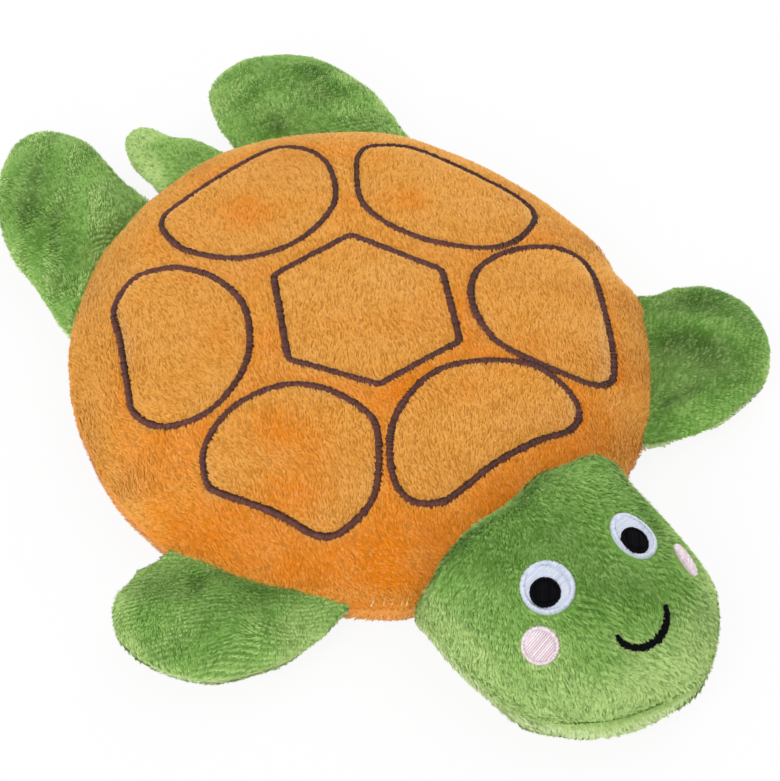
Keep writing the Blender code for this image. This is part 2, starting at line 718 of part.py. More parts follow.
def blade_pillow(rim, side, length, heading, shares, middle_share, up, down):
    """A flipper or tail, sewn along a stretch of the shell's rim."""
    def at_rim(angle):
        point = rim_point(angle, SEAM_GAP)
        return Vector((side * point.x, point.y, 0))
    start, end = at_rim(rim[0]), at_rim(rim[1])
    middle = (start + end) / 2
    half_root = (end - start).length / 2
    outward = Vector((middle.x / SHELL_HALF_WIDTH ** 2, middle.y / SHELL_HALF_LENGTH ** 2, 0))
    outward -= (end - start) * (outward.dot(end - start) / (end - start).length_squared)
    outward.normalize()
    axis_direction = (end - start).normalized()
    along = outward.copy()
    along.rotate(Euler((0, 0, math.radians(-side * heading))))
    across = axis_direction.copy()
    across.rotate(Euler((0, 0, math.radians(-side * heading))))
    blade = [start] + [middle + along * (s * length) + across * (t * half_root) for s, t in shares] + [end]
    tip = even_points(spline(blade, False), BLADE_STEPS + 1, False)
    root = [at_rim(mix(rim[1], rim[0], step / ROOT_STEPS)) for step in range(ROOT_STEPS + 1)]
    outline = tip[:-1] + root[:-1]
    centre = middle + along * (middle_share[0] * length) + across * (middle_share[1] * half_root)
    up_shares = []
    for index in range(len(outline)):
        from_root = min(max(min(index, BLADE_STEPS - index) - 1, 0) / SOFT_STEPS, 1.0)
        swelling = from_root * from_root * (3 - 2 * from_root)
        up_shares.append(tuple(mix(a, b, swelling) for a, b in zip(ROOT_SHARES, BLADE_SHARES)))
    if outline_area(outline) < 0:
        outline.reverse()
        up_shares.reverse()
    pillow = Pillow(centre, outline, SEAM_HEIGHT, up, down, up_shares, up_shares)
    bulge = max((at_rim(mix(rim[0], rim[1], k / ROOT_STEPS)) - middle).dot(outward)
                for k in range(ROOT_STEPS + 1))
    axis = middle + outward * bulge
    axis.z = SEAM_HEIGHT
    return pillow, axis


def outline_area(outline):
    return sum(a.cross(b).z for a, b in zip(outline, outline[1:] + outline[:1])) / 2


def add_blade(name, pillow, axis):
    carrier = hinge(name + "_axis", axis)
    outside = ring_shares(BLADE_RINGS)
    inside = ring_shares(BLADE_INSIDE_RINGS)
    add_panel(name + "_top_panel", pillow, 1, outside, inside, GREEN, carrier)
    add_panel(name + "_bottom_panel", pillow, -1, outside, inside, LIME, carrier)
    add_filling(name + "_filling", pillow, inside, inside, carrier)


def add_limbs():
    for name, side, rim, length, rise, heading, shares, middle in FLIPPERS:
        pillow, axis = blade_pillow(rim, side, length, heading, shares, middle, rise,
                                    SEAM_HEIGHT - FLOOR_GAP)
        add_blade(name, pillow, axis)
    pillow, axis = blade_pillow(TAIL_RIM, 1, TAIL_LENGTH, 0.0, TAIL_BLADE_SHARES, TAIL_MIDDLE,
                                TAIL_RISE, TAIL_DROP)
    add_blade("tail", pillow, axis)


def build():
    for old in list(bpy.data.objects):
        bpy.data.objects.remove(old, do_unlink=True)
    add_shell()
    add_scutes()
    add_closing_stitches()
    add_head()
    add_limbs()


build()
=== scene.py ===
import math

import bmesh
import bpy
import numpy as np
from mathutils import Matrix, Vector
from mathutils.bvhtree import BVHTree
from mathutils.kdtree import KDTree


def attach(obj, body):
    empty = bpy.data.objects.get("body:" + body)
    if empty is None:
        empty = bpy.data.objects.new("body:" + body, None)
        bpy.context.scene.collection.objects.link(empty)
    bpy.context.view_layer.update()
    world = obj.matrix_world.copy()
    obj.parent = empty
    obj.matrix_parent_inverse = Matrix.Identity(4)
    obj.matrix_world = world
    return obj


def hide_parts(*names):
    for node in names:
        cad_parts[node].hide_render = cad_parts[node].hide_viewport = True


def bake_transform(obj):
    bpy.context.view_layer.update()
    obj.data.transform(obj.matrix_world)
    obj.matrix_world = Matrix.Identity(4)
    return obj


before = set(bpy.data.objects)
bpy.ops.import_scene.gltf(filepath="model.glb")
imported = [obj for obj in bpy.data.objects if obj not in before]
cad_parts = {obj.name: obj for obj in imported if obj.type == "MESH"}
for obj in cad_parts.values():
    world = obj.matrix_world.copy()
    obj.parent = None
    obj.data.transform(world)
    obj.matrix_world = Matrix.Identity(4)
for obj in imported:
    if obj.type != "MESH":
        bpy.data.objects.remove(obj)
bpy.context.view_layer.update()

# Lengths are millimetres in the part's frame. Meshes are written in metres.
MM = 0.001
# The cloth is simulated in a copy of ten times the size.
WORK = 0.01
CLOTH_FRAMES = 20
CLOTH = dict(quality=5, mass=0.3, tension_stiffness=12, compression_stiffness=12, shear_stiffness=4,
             bending_stiffness=0.4, use_pressure=True, uniform_pressure_force=4, vertex_group_mass="seam")
# How far from the seam the cloth is still held by it, and how far else it may be blown out.
SEAM_HOLD, SWELL = 2.6, 0.9

SEAM, CHIN_SEAM = 8.8, 12.6
HALF_WIDTH, HALF_LENGTH = 75.0, 80.3
SHELL_RISE, BELLY_DROP = 21.9, 9.3
HEAD_HALF, HEAD_FRONT, HEAD_TUCK, HEAD_RISE = 34.0, 49.3, 15.6, 25.5
HEAD_X, HEAD_Y = -5.4, -77.6
HEAD_SQUARE = 2.57
HEAD_TURN = math.radians(-1.8)
NECK = np.array((-5.4, -80.6, SEAM))
UNDER_FLOOR_GAP = 0.3
SHELL_CORNERS, HEAD_CORNERS, BLADE_CORNERS, ROOT_CORNERS = 176, 150, 90, 30
# Limbs start this far outside the rim, and their roots reach this far inside it.
ROOT_CLEARANCE, ROOT_REACH = 0.3, -6.5
# The groove in the cloth under an embroidered line.
GROOVE_DEPTH, GROOVE_WIDTH = 0.7, 1.7

# How a body swells from its rim: the two powers of its section.
SHELL_SHARE, BELLY_SHARE, FLAT_SHARE = (3.0, 0.545), (3.0, 0.5), (30.0, 0.5)
HEAD_SHARE, BLADE_SHARE, ROOT_SHARE = (3.48, 0.783), (2.2, 0.5), (2.0, 1.05)

# Each limb: its side, the rim's angles at its root, its length, its rise and its heading; its outline from root
# to root as shares of the length and of half the root; and its highest place in the same shares.
FLIPPERS = (
    ("front_left_flipper", 1, (-21.2, -56.5), 36.0, 8.5, 0.0,
     ((0.105, -1.045), (0.233, -1.16), (0.41, -1.255), (0.675, -1.123), (0.876, -0.885), (0.989, -0.403),
      (0.931, 0.185), (0.668, 0.62), (0.452, 0.895), (0.317, 0.97), (0.13, 1.03)),
     (0.50, -0.20)),
    ("front_right_flipper", -1, (-16.7, -49.3), 32.8, 8.5, 0.0,
     ((0.075, -1.12), (0.255, -1.355), (0.552, -1.416), (0.847, -1.157), (0.969, -0.581), (0.909, 0.045),
      (0.639, 0.565), (0.425, 0.851), (0.234, 0.969), (0.078, 0.99)),
     (0.50, -0.20)),
    ("rear_left_flipper", 1, (41.3, 76.8), 45.2, 9.2, -32.7,
     ((-0.065, -1.09), (0.12, -1.125), (0.288, -1.10), (0.565, -0.978), (0.81, -0.672), (0.979, -0.024),
      (0.88, 0.567), (0.547, 0.87)),
     (0.45, -0.12)),
    ("rear_right_flipper", -1, (39.1, 79.3), 54.0, 9.2, -43.0,
     ((0.099, -0.845), (0.41, -0.87), (0.74, -0.69), (0.979, -0.363), (1.052, 0.03), (0.92, 0.39),
      (0.74, 0.545), (0.55, 0.632), (0.36, 0.705)),
     (0.45, -0.12)),
    ("tail", 1, (80.0, 98.0), 26.8, 6.2, 0.0,
     ((0.305, -0.94), (0.575, -0.24), (0.879, 0.045), (0.96, 0.33), (0.88, 0.79), (0.59, 1.05), (0.30, 1.09),
      (0.12, 1.03)),
     (0.34, 0.10)),
)

# How far the cloth stands past the plain outline, at even angles round the shell and round the head.
SHELL_BULGE = (
    0.35, 0.0, -0.2, 0.2, 0.7, 2.4, 2.5, 1.9, 1.8, 1.9, 2.0, 1.5, -0.1, -0.4, -1.2, -0.8, -0.6, -0.7, -0.3,
    0.0, 0.3, 0.6, 1.4, 2.2, 2.2, 3.5, 3.8, 2.2, 0.9, 1.0, 1.2, 0.0, 0.0, 0.0, 0.0, 0.0, 0.0, -0.8, 0.3,
    1.2, 1.2, 1.8, 3.1, 0.2, 1.5)
HEAD_BULGE = (
    -2.0, 0.1, 1.6, -0.6, -2.1, -2.4, -0.6, -0.9, -4.0, -3.4, -2.7, -2.4, -2.0, -2.6, 0.2, -0.1, 0.3, 0.6,
    1.9, 0.9, 0.5, 1.0, 1.6, 2.2, 0.8, 0.7, 1.4, 2.2, 0.0, -1.1)

# The embroidered lines on the shell, in shares of its half width and half length.
HEXAGON = (
    (0.159, 0.241), (0.314, -0.056), (0.169, -0.320), (-0.161, -0.306), (-0.338, -0.060), (-0.165, 0.248))
SCUTES = {
    "rear": (
        (0.00, 0.323), (0.201, 0.389), (0.311, 0.545), (0.325, 0.676), (0.25, 0.778),
        (0.05, 0.776), (-0.15, 0.764), (-0.273, 0.746), (-0.324, 0.648), (-0.316, 0.516), (-0.20, 0.374)),
    "front": (
        (0.00, -0.368), (0.169, -0.412), (0.311, -0.513), (0.355, -0.629), (0.343, -0.709),
        (0.268, -0.743), (0.151, -0.728), (-0.02, -0.718), (-0.151, -0.726), (-0.253, -0.722),
        (-0.333, -0.661), (-0.318, -0.561), (-0.199, -0.431)),
    "front_left": (
        (0.417, -0.120), (0.56, -0.106), (0.712, -0.145), (0.799, -0.200), (0.806, -0.261),
        (0.711, -0.435), (0.605, -0.597), (0.519, -0.665), (0.417, -0.622), (0.288, -0.435),
        (0.272, -0.330), (0.315, -0.206)),
    "front_right": (
        (-0.412, -0.128), (-0.58, -0.094), (-0.727, -0.139), (-0.791, -0.223), (-0.785, -0.290),
        (-0.687, -0.455), (-0.618, -0.580), (-0.53, -0.616), (-0.402, -0.587), (-0.272, -0.435),
        (-0.262, -0.341), (-0.313, -0.216)),
    "rear_left": (
        (0.523, 0.577), (0.66, 0.505), (0.745, 0.315), (0.818, 0.125), (0.796, 0.005),
        (0.640, -0.077), (0.487, -0.046), (0.333, 0.121), (0.287, 0.325), (0.393, 0.501), (0.461, 0.565)),
    "rear_right": (
        (-0.53, 0.567), (-0.635, 0.518), (-0.700, 0.386), (-0.776, 0.236), (-0.824, 0.120),
        (-0.776, -0.008), (-0.63, -0.055), (-0.441, 0.022), (-0.325, 0.192), (-0.322, 0.348),
        (-0.381, 0.473), (-0.441, 0.527)),
}

# The stitches that shut the shell: their angles round the rim, their height, half their length, their radius.
CLOSING_ANGLES = (-126.2, -124.1, -122.6, -120.8, -120.0)
CLOSING_HEIGHT, CLOSING_REACH, CLOSING_THREAD = SEAM + 2.5, 0.9, 0.26

# Strands of each pile: number on a square millimetre, length, width, tuft size, and how much they stray and
# how unevenly they take the light.
SHELL_STRANDS = dict(density=9.4, length=1.2, width=0.30, clump=0.44, wild=0.12, rough=0.28)
BELLY_STRANDS = dict(density=5.5, length=1.1, width=0.36, clump=0.6, wild=0.12, rough=0.16)
HEAD_STRANDS = dict(density=15.0, length=1.4, width=0.24, clump=0.62, wild=0.17, rough=0.42)
LIMB_STRANDS = dict(density=17.0, length=1.15, width=0.24, clump=0.46, wild=0.12, rough=0.30)
UNDER_STRANDS = dict(density=11.0, length=1.2, width=0.28, clump=0.6, wild=0.10, rough=0.14)
LEAN = math.radians(62)
# Each strand: how deep its foot is set, how upright it may stand, where its waist is (along it, and more
# upright), and how far its waist and its tip are drawn into the tuft.
FOOT_DEPTH, UPRIGHT = 0.35, (0.15, 0.62)
WAIST, WAIST_RISE, WAIST_PULL, TIP_PULL = 0.5, 0.32, 0.25, 0.55
SHELL_NAP, BELLY_NAP, HEAD_NAP = (0.24, 0.97, 0.0), (0.1, 1.0, 0.0), (0.1, -1.0, -0.5)
HEAD_ROWS, HEAD_ROW_PITCH = (0.75, 0.55, 0.3), 1.35
LIMB_ROW_PITCH = 1.05

THREAD_SIDES, THREAD_FLATNESS = 5, 0.75
STITCH_STEPS, STITCH_SINK = 6, 0.5
RING_PITCH, RING_THREAD = 0.36, 0.21
SCUTE_PITCH, SCUTE_THREAD = 0.38, 0.21
SMILE_PITCH, SMILE_THREAD = 0.30, 0.22
LINE_LIFT = 1.25

# Round patches: slot; the ground's radius, height and corners; the rows' reach, turn, pitch, height and seed;
# the thread's radius and seed; and the ring's radius, half width, height and seed.
PATCHES = {
    "eye_white": (
        "white_thread", (6.4, 0.75, 48), (5.4, 0.15, 0.36, 0.95, 101), 0.24, 5, (5.75, 0.75, 1.1, 102)),
    "pupil": ("black_thread", (3.55, 1.45, 36), (2.75, 0.9, 0.34, 1.6, 103), 0.23, 6, (3.12, 0.55, 1.75, 104)),
    "cheek": ("pink_thread", (4.3, 0.6, 36), (3.7, 0.32, 0.52, 0.85, 105), 0.28, 7, (4.0, 0.5, 1.0, 106)),
}
# Where the picture shows the middle of each patch, and how much narrower than round it is.
PATCH_PLACES = {
    "eye_white": {"right": (547.5, 587.5), "left": (633.4, 535.8, 0.82)},
    "pupil": {"right": (545.2, 593.5), "left": (633.2, 543.0, 0.90)},
    "cheek": {"right": (540.0, 645.5), "left": (684.5, 560.5, 0.42)},
}
SMILE = ((616.6, 635.5), (620.5, 642), (630.5, 647), (645, 646.5), (656, 639.5), (663.5, 629.5), (666, 617.5),
         (664.3, 606.3))
SMILE_STEPS = 50
# Half the width of the smile's line, at shares of its length.
SMILE_HALF = ((0, 0.08, 0.35, 0.6, 0.8, 1), (0.5, 0.8, 0.95, 1.22, 1.0, 0.25))

FLOOR_GLOW = 0.90
WORLD_STRENGTH = 0.68
# Each lamp: place and size in metres, and power.
LAMPS = {"key": ((-0.85, -0.30, 0.80), 0.8, 6.5), "top": ((0.55, 0.05, 0.95), 0.9, 1.8),
         "rim": ((0.85, 0.45, 0.38), 0.8, 2.6)}
LAMP_AIM = (0, 0, 0.01)


def unit(vector):
    """A vector, or each of many in rows, at length 1."""
    if vector.ndim == 1:
        return vector / np.linalg.norm(vector)
    return vector / np.maximum(np.linalg.norm(vector, axis=-1, keepdims=True), 1e-9)


def square_to(way, other):
    """A direction with what it shares with another taken out."""
    return unit(way - other * (way @ other))


def dots(a, b):
    """Scalar products of paired rows, as a column."""
    return np.sum(a * b, axis=1)[:, None]


# Level directions that the picture shows as up and as right.
AWAY = np.array((0.621, 0.784, 0.0))
ASIDE = np.array((0.784, -0.621, 0.0))
PICTURE_MIDDLE, PICTURE_HEIGHT = (390.0, 390.5), 781.0
SENSOR, FOCAL_PX = 36.0, 1900.8
EYE_AIM, EYE_REACH = (3.585, -9.224, 0.0), 504.81


def camera_axes():
    """Right, up and back as the camera sees them."""
    rise, turn, roll = 0.911583, -0.670102, 0.02178
    back = np.array((math.sin(turn) * math.cos(rise), -math.cos(turn) * math.cos(rise), math.sin(rise)))
    right = unit(np.cross((0, 0, 1), back))
    up = np.cross(back, right)
    return (right * math.cos(roll) + up * math.sin(roll), up * math.cos(roll) - right * math.sin(roll), back)


EYE_RIGHT, EYE_UP, EYE_BACK = camera_axes()
EYE_PLACE = np.array(EYE_AIM) + EYE_BACK * EYE_REACH


def pixel_ray(px, py):
    """Direction from the camera through a pixel of the picture."""
    return unit(EYE_RIGHT * (px - PICTURE_MIDDLE[0]) - EYE_UP * (py - PICTURE_MIDDLE[1]) - EYE_BACK * FOCAL_PX)


def make_camera():
    data = bpy.data.cameras.new("camera")
    data.sensor_width = SENSOR
    data.lens = FOCAL_PX * SENSOR / PICTURE_HEIGHT
    data.clip_start, data.clip_end = 0.01, 10.0
    camera = new_object("camera", data)
    turn = Matrix([list(EYE_RIGHT), list(EYE_UP), list(EYE_BACK)]).transposed()
    camera.matrix_world = Matrix.Translation(Vector(EYE_PLACE) * MM) @ turn.to_4x4()
    bpy.context.scene.camera = camera


def spline(points, closed, per_span=10):
    """A smooth curve through points."""
    points = np.asarray(points, float)
    count = len(points)
    curve = []
    for span in range(count if closed else count - 1):
        picks = [(span + k) % count if closed else min(max(span + k, 0), count - 1) for k in (-1, 0, 1, 2)]
        a, b, c, d = (points[k] for k in picks)
        t = (np.arange(per_span) / per_span)[:, None]
        curve.append(0.5 * (2 * b + (c - a) * t + (2 * a - 5 * b + 4 * c - d) * t ** 2
                            + (3 * b - a - 3 * c + d) * t ** 3))
    curve = np.concatenate(curve)
    return curve if closed else np.vstack([curve, points[-1]])


def even_points(curve, count, closed):
    """Points at even distances along a curve."""
    path = np.vstack([curve, curve[:1]]) if closed else np.asarray(curve)
    travelled = np.concatenate([[0.0], np.cumsum(np.linalg.norm(np.diff(path, axis=0), axis=1))])
    goals = np.linspace(0, travelled[-1], count, endpoint=not closed)
    return np.stack([np.interp(goals, travelled, path[:, k]) for k in range(path.shape[1])], axis=1)


def rim(angle, clearance=0.0):
    """The place on the shell's plain outline at an angle in degrees, seen from above."""
    turn = math.radians(angle)
    return np.array(((HALF_WIDTH + clearance) * math.cos(turn), (HALF_LENGTH + clearance) * math.sin(turn)))


def bulged(outline, angles, lengths):
    """An outline whose cloth stands out by lengths that are given at even angles."""
    ahead = np.roll(outline, -1, axis=0) - np.roll(outline, 1, axis=0)
    outward = unit(np.column_stack([ahead[:, 1], -ahead[:, 0]]))
    turns = np.arange(len(lengths)) * 360 / len(lengths)
    return outline + outward * np.interp(angles, turns, lengths, period=360)[:, None]


def rounded_corners(corners, radius, steps=8):
    """A closed outline with straight sides and round corners."""
    corners = [np.asarray(c, float) for c in corners]
    outline = []
    count = len(corners)
    for index, corner in enumerate(corners):
        back = unit(corners[index - 1] - corner)
        on = corners[(index + 1) % count] - corner
        ahead = unit(on)
        reach = radius / math.tan(math.acos(float(back @ ahead)) / 2)
        for step in range(steps + 1):
            share = step / steps
            first = corner + back * reach * (1 - share)
            second = corner + ahead * reach * share
            outline.append(first * (1 - share) + second * share)
        outline += [corner + on * s for s in (0.25, 0.5, 0.75)]
    return np.array(outline)


def pillow(outline, middle, up, down, up_shares, down_shares, wall, floor=0.0, rings=20, spread=0.0):
    """Points and faces of a closed body that swells up and down from a flat seam.

    Each wall is half the least thickness along the line from that place on the edge to the middle,
    and the under half stands out past the seam by the spread.
    """
    outline = np.asarray(outline, float)
    middle = np.asarray(middle, float)
    arms = outline - middle
    count = len(arms)
    reaches = [math.sin(math.pi / 2 * (rings - k) / rings) for k in range(rings)]
    points = []
    for way, rise, shares in ((1, up, up_shares), (-1, down, down_shares)):
        shares = np.asarray(shares, float).reshape(-1, 2)
        for reach in reaches:
            height = np.maximum(0.0, 1 - reach ** shares[:, 0]) ** shares[:, 1]
            wider = 1 + (spread / np.linalg.norm(arms, axis=1) if way < 0 else 0 * arms[:, 0])
            flat = middle + arms * (reach * wider)[:, None]
            z = np.maximum(SEAM + way * np.maximum(rise * height, wall), floor)
            points.append(np.column_stack([flat, np.broadcast_to(z, (count,))]))
        points.append(np.array([[*middle, max(SEAM + way * rise, floor)]]))
    points = np.concatenate(points)
    half = rings * count + 1
    rows_up = [k * count for k in range(rings)]
    rows_down = [half + row for row in rows_up]
    faces = [(half + k, half + (k + 1) % count, (k + 1) % count, k) for k in range(count)]
    for rows, apex, way in ((rows_up, half - 1, 1), (rows_down, 2 * half - 1, -1)):
        for a, b in zip(rows, rows[1:]):
            for k in range(count):
                n = (k + 1) % count
                quad = (a + k, a + n, b + n, b + k)
                faces.append(quad[::way])
        for k in range(count):
            tri = (rows[-1] + k, rows[-1] + (k + 1) % count, apex)
            faces.append(tri[::way])
    return points, faces


def counterclockwise(outline):
    a, b = outline, np.roll(outline, -1, axis=0)
    return np.sum(a[:, 0] * b[:, 1] - a[:, 1] * b[:, 0]) > 0


def inside_shell(points, clearance):
    """True where a point lies in the room of the shell, widened by the clearance."""
    reach = np.hypot(points[:, 0] / (HALF_WIDTH + clearance), points[:, 1] / (HALF_LENGTH + clearance))
    share = np.minimum(reach, 1.0)
    over = SEAM + (SHELL_RISE + clearance) * (1 - share ** SHELL_SHARE[0]) ** SHELL_SHARE[1]
    under = SEAM - (BELLY_DROP + clearance) * (1 - share ** BELLY_SHARE[0]) ** BELLY_SHARE[1]
    return (reach < 1) & (points[:, 2] < over) & (points[:, 2] > under)


def shell_gap(points):
    """How far points are from the shell, up to 4."""
    return sum(0.5 * ~inside_shell(points, 0.5 * k) for k in range(8))


def turned(points, angle):
    """Points turned about the neck's axis, positive for the head going down."""
    arm = points - NECK
    c, s = math.cos(angle), math.sin(angle)
    return NECK + np.column_stack([arm[:, 0], arm[:, 1] * c - arm[:, 2] * s, arm[:, 1] * s + arm[:, 2] * c])


def clear_of_shell(points, clearance=0.45):
    """Moves points out of the room that the shell takes over the neck's range."""
    points = points.copy()
    turns = [math.radians(a) for a in (-6, -3, 0, 4, 8, 13, 18, 23, 28, 32)]
    for _ in range(140):
        hit = np.zeros(len(points), bool)
        for angle in turns:
            hit |= inside_shell(turned(points, angle), clearance)
        if not hit.any():
            break
        points[hit, :2] += unit(points[hit, :2]) * 0.2
    return points


def new_object(name, mesh):
    obj = bpy.data.objects.new(name, mesh)
    bpy.context.scene.collection.objects.link(obj)
    return obj


def finished(name, mesh, slot):
    """A piece of the scene in the finish of its slot."""
    mesh.materials.clear()
    mesh.materials.append(LOOKS[slot])
    obj = new_object(name, mesh)
    return obj


def shade_smooth(mesh):
    mesh.polygons.foreach_set("use_smooth", [True] * len(mesh.polygons))


def baked(obj):
    """The mesh of an object with its modifiers applied."""
    graph = bpy.context.evaluated_depsgraph_get()
    return bpy.data.meshes.new_from_object(obj.evaluated_get(graph))


def coordinates(mesh):
    co = np.zeros(len(mesh.vertices) * 3)
    mesh.vertices.foreach_get("co", co)
    return co.reshape(-1, 3)


def vertex_normals(mesh):
    no = np.zeros(len(mesh.vertices) * 3)
    mesh.vertex_normals.foreach_get("vector", no)
    return no.reshape(-1, 3)


def set_coordinates(mesh, co):
    mesh.vertices.foreach_set("co", np.asarray(co, np.float32).ravel())
    mesh.update()


def stuffed(points, faces, voxel, inset, edge_inset, seam=SEAM):
    """A soft closed body in millimetres: remeshed, drawn in, blown up as cloth and subdivided."""
    mesh = bpy.data.meshes.new("stuffed")
    mesh.from_pydata((points * WORK).tolist(), [], faces)
    body = new_object("stuffed", mesh)
    remesh = body.modifiers.new("remesh", "REMESH")
    remesh.mode = "VOXEL"
    remesh.voxel_size = voxel * WORK
    smooth = body.modifiers.new("smooth", "SMOOTH")
    smooth.factor = 0.5
    smooth.iterations = 3
    body.data = baked(body)
    body.modifiers.clear()
    start, normals = coordinates(body.data), vertex_normals(body.data)
    near = np.abs(start[:, 2] / WORK - seam)
    hold = np.clip(1 - near / SEAM_HOLD, 0, 1) * (1 - np.abs(normals[:, 2]))
    drawn = (inset + SWELL / 2) * (1 - hold) + edge_inset * hold
    start = start - normals * drawn[:, None] * WORK
    set_coordinates(body.data, start)
    pin = body.vertex_groups.new(name="seam")
    for index, weight in enumerate(hold):
        pin.add([index], float(weight), "REPLACE")
    cloth = body.modifiers.new("cloth", "CLOTH")
    for setting, value in CLOTH.items():
        setattr(cloth.settings, setting, value)
    cloth.settings.effector_weights.gravity = 0
    cloth.point_cache.frame_start = 1
    cloth.point_cache.frame_end = CLOTH_FRAMES
    for frame_number in range(1, CLOTH_FRAMES + 1):
        bpy.context.scene.frame_set(frame_number)
    blown = coordinates(baked(body))
    body.modifiers.clear()
    move = blown - start
    length = np.maximum(np.linalg.norm(move, axis=1), 1e-9)
    move *= (np.minimum(length, SWELL * WORK) / length)[:, None]
    set_coordinates(body.data, start + move)
    bpy.context.scene.frame_set(1)
    body.vertex_groups.clear()
    finer = body.modifiers.new("finer", "SUBSURF")
    finer.levels = finer.render_levels = 1
    finer.boundary_smooth = "ALL"
    result = baked(body)
    bpy.data.objects.remove(body)
    result.transform(Matrix.Diagonal((1 / WORK, 1 / WORK, 1 / WORK, 1)))
    return result


def largest_island(mesh):
    """Drops pockets that the remesh left inside."""
    bm = bmesh.new()
    bm.from_mesh(mesh)
    bm.verts.ensure_lookup_table()
    seen, groups = set(), []
    for vert in bm.verts:
        if vert.index in seen:
            continue
        stack, group = [vert], []
        seen.add(vert.index)
        while stack:
            here = stack.pop()
            group.append(here)
            for edge in here.link_edges:
                other = edge.other_vert(here)
                if other.index not in seen:
                    seen.add(other.index)
                    stack.append(other)
        groups.append(group)
    groups.sort(key=len)
    for group in groups[:-1]:
        bmesh.ops.delete(bm, geom=group, context="VERTS")
    bm.to_mesh(mesh)
    bm.free()
    return mesh


def smoothstep(low, high, value):
    t = np.clip((np.asarray(value, float) - low) / (high - low), 0, 1)
    return t * t * (3 - 2 * t)


def hump(value, middle, width):
    """1 at the middle, falling softly to 0 on both sides."""
    return np.exp(-((value - middle) / width) ** 2)


def press_seam(mesh, depth, width, seam=SEAM, share=None):
    """Draws the cloth in along the seam."""
    co, no = coordinates(mesh), vertex_normals(mesh)
    flat = np.column_stack([no[:, :2], np.zeros(len(no))])
    side = np.linalg.norm(flat, axis=1)
    pull = depth * hump(co[:, 2], seam, width) * smoothstep(0.25, 0.75, side)
    if share is not None:
        pull *= share(co)
    co -= unit(flat) * pull[:, None]
    co[:, 2] = np.maximum(co[:, 2], 0.2)
    set_coordinates(mesh, co)


def tree_of(mesh):
    mesh.calc_loop_triangles()
    return BVHTree.FromPolygons([v.co for v in mesh.vertices],
                                [tuple(t.vertices) for t in mesh.loop_triangles])


def seen_at(tree, px, py):
    """Where the sight line through a pixel meets a body."""
    hit = tree.ray_cast(Vector(EYE_PLACE), Vector(pixel_ray(px, py)))
    return None if hit[0] is None else (np.array(hit[0]), np.array(hit[1]))


def dent(mesh, places):
    """Presses or raises soft places: a pixel, a reach along and across a direction, and a depth."""
    tree = tree_of(mesh)
    co, no = coordinates(mesh), vertex_normals(mesh)
    for px, py, turn, along, across, depth in places:
        found = seen_at(tree, px, py)
        if found is None:
            continue
        place, normal = found
        level = np.array((math.cos(math.radians(turn)), math.sin(math.radians(turn)), 0.0))
        ahead = square_to(level, normal)
        aside = np.cross(normal, ahead)
        arm = co - place
        u, v, w = arm @ ahead, arm @ aside, arm @ normal
        share = np.exp(-(u / along) ** 2 - (v / across) ** 2 - (w / 9.0) ** 2)
        co = co - normal * (depth * share)[:, None]
    set_coordinates(mesh, co)


def found_spots(tree, places):
    """Soft round patches of painted shade and painted light: where a pixel meets the body, a reach and a depth.
    """
    spots = []
    for px, py, reach, depth in places:
        found = seen_at(tree, px, py)
        if found is not None:
            spots.append((found[0], reach, depth))
    return spots


def spots_of(spots, points):
    """The depth of soft round patches at points."""
    return sum((depth * np.exp(-np.sum((points - place) ** 2, axis=1) / reach ** 2)
                for place, reach, depth in spots), np.zeros(len(points)))


def split_at_seam(mesh, name, seam=SEAM):
    """Two open panels, top and bottom, whose edges meet at the seam."""
    panels = []
    for way, part in ((1, "top"), (-1, "bottom")):
        bm = bmesh.new()
        bm.from_mesh(mesh)
        bmesh.ops.bisect_plane(bm, geom=bm.verts[:] + bm.edges[:] + bm.faces[:], dist=0.01,
                               plane_co=(0, 0, seam), plane_no=(0, 0, way), clear_inner=True)
        panel = bpy.data.meshes.new(name + "_" + part)
        bm.to_mesh(panel)
        bm.free()
        shade_smooth(panel)
        panels.append(panel)
    return panels


def fill_inputs(tree, node, inputs):
    """Puts values, colours or links into a node's inputs."""
    for key, value in inputs.items():
        if isinstance(value, bpy.types.NodeSocket):
            tree.links.new(value, node.inputs[key])
        else:
            node.inputs[key].default_value = (*value, 1.0) if isinstance(value, tuple) else value


def add_node(tree, kind, inputs, **settings):
    node = tree.nodes.new("ShaderNode" + kind)
    for name, value in settings.items():
        setattr(node, name, value)
    fill_inputs(tree, node, inputs)
    return node


def new_look(name):
    """A material, its nodes and its shader."""
    material = bpy.data.materials.new(name)
    material.use_nodes = True
    return material, material.node_tree, material.node_tree.nodes["Principled BSDF"]


def texture(tree, kind, **inputs):
    """A procedural pattern fixed to the piece."""
    place = add_node(tree, "TexCoord", {}).outputs["Object"]
    return add_node(tree, kind, {"Vector": place, **inputs})


def noise(tree, scale, detail=3.0):
    return texture(tree, "TexNoise", Scale=scale, Detail=detail, Roughness=0.5).outputs["Fac"]


def mix_colour(tree, factor, first, second):
    return add_node(tree, "Mix", {0: factor, 6: first, 7: second}, data_type="RGBA").outputs[2]


def ramp(tree, value, low, high, start=0.0, end=1.0):
    limits = {"Value": value, "From Min": low, "From Max": high, "To Min": start, "To Max": end}
    return add_node(tree, "MapRange", limits, interpolation_type="SMOOTHSTEP").outputs["Result"]


def attribute(tree, name):
    return add_node(tree, "Attribute", {}, attribute_name=name).outputs["Fac"]


def bump(tree, height, strength, distance):
    inputs = {"Height": height, "Strength": strength, "Distance": distance}
    return add_node(tree, "Bump", inputs).outputs["Normal"]


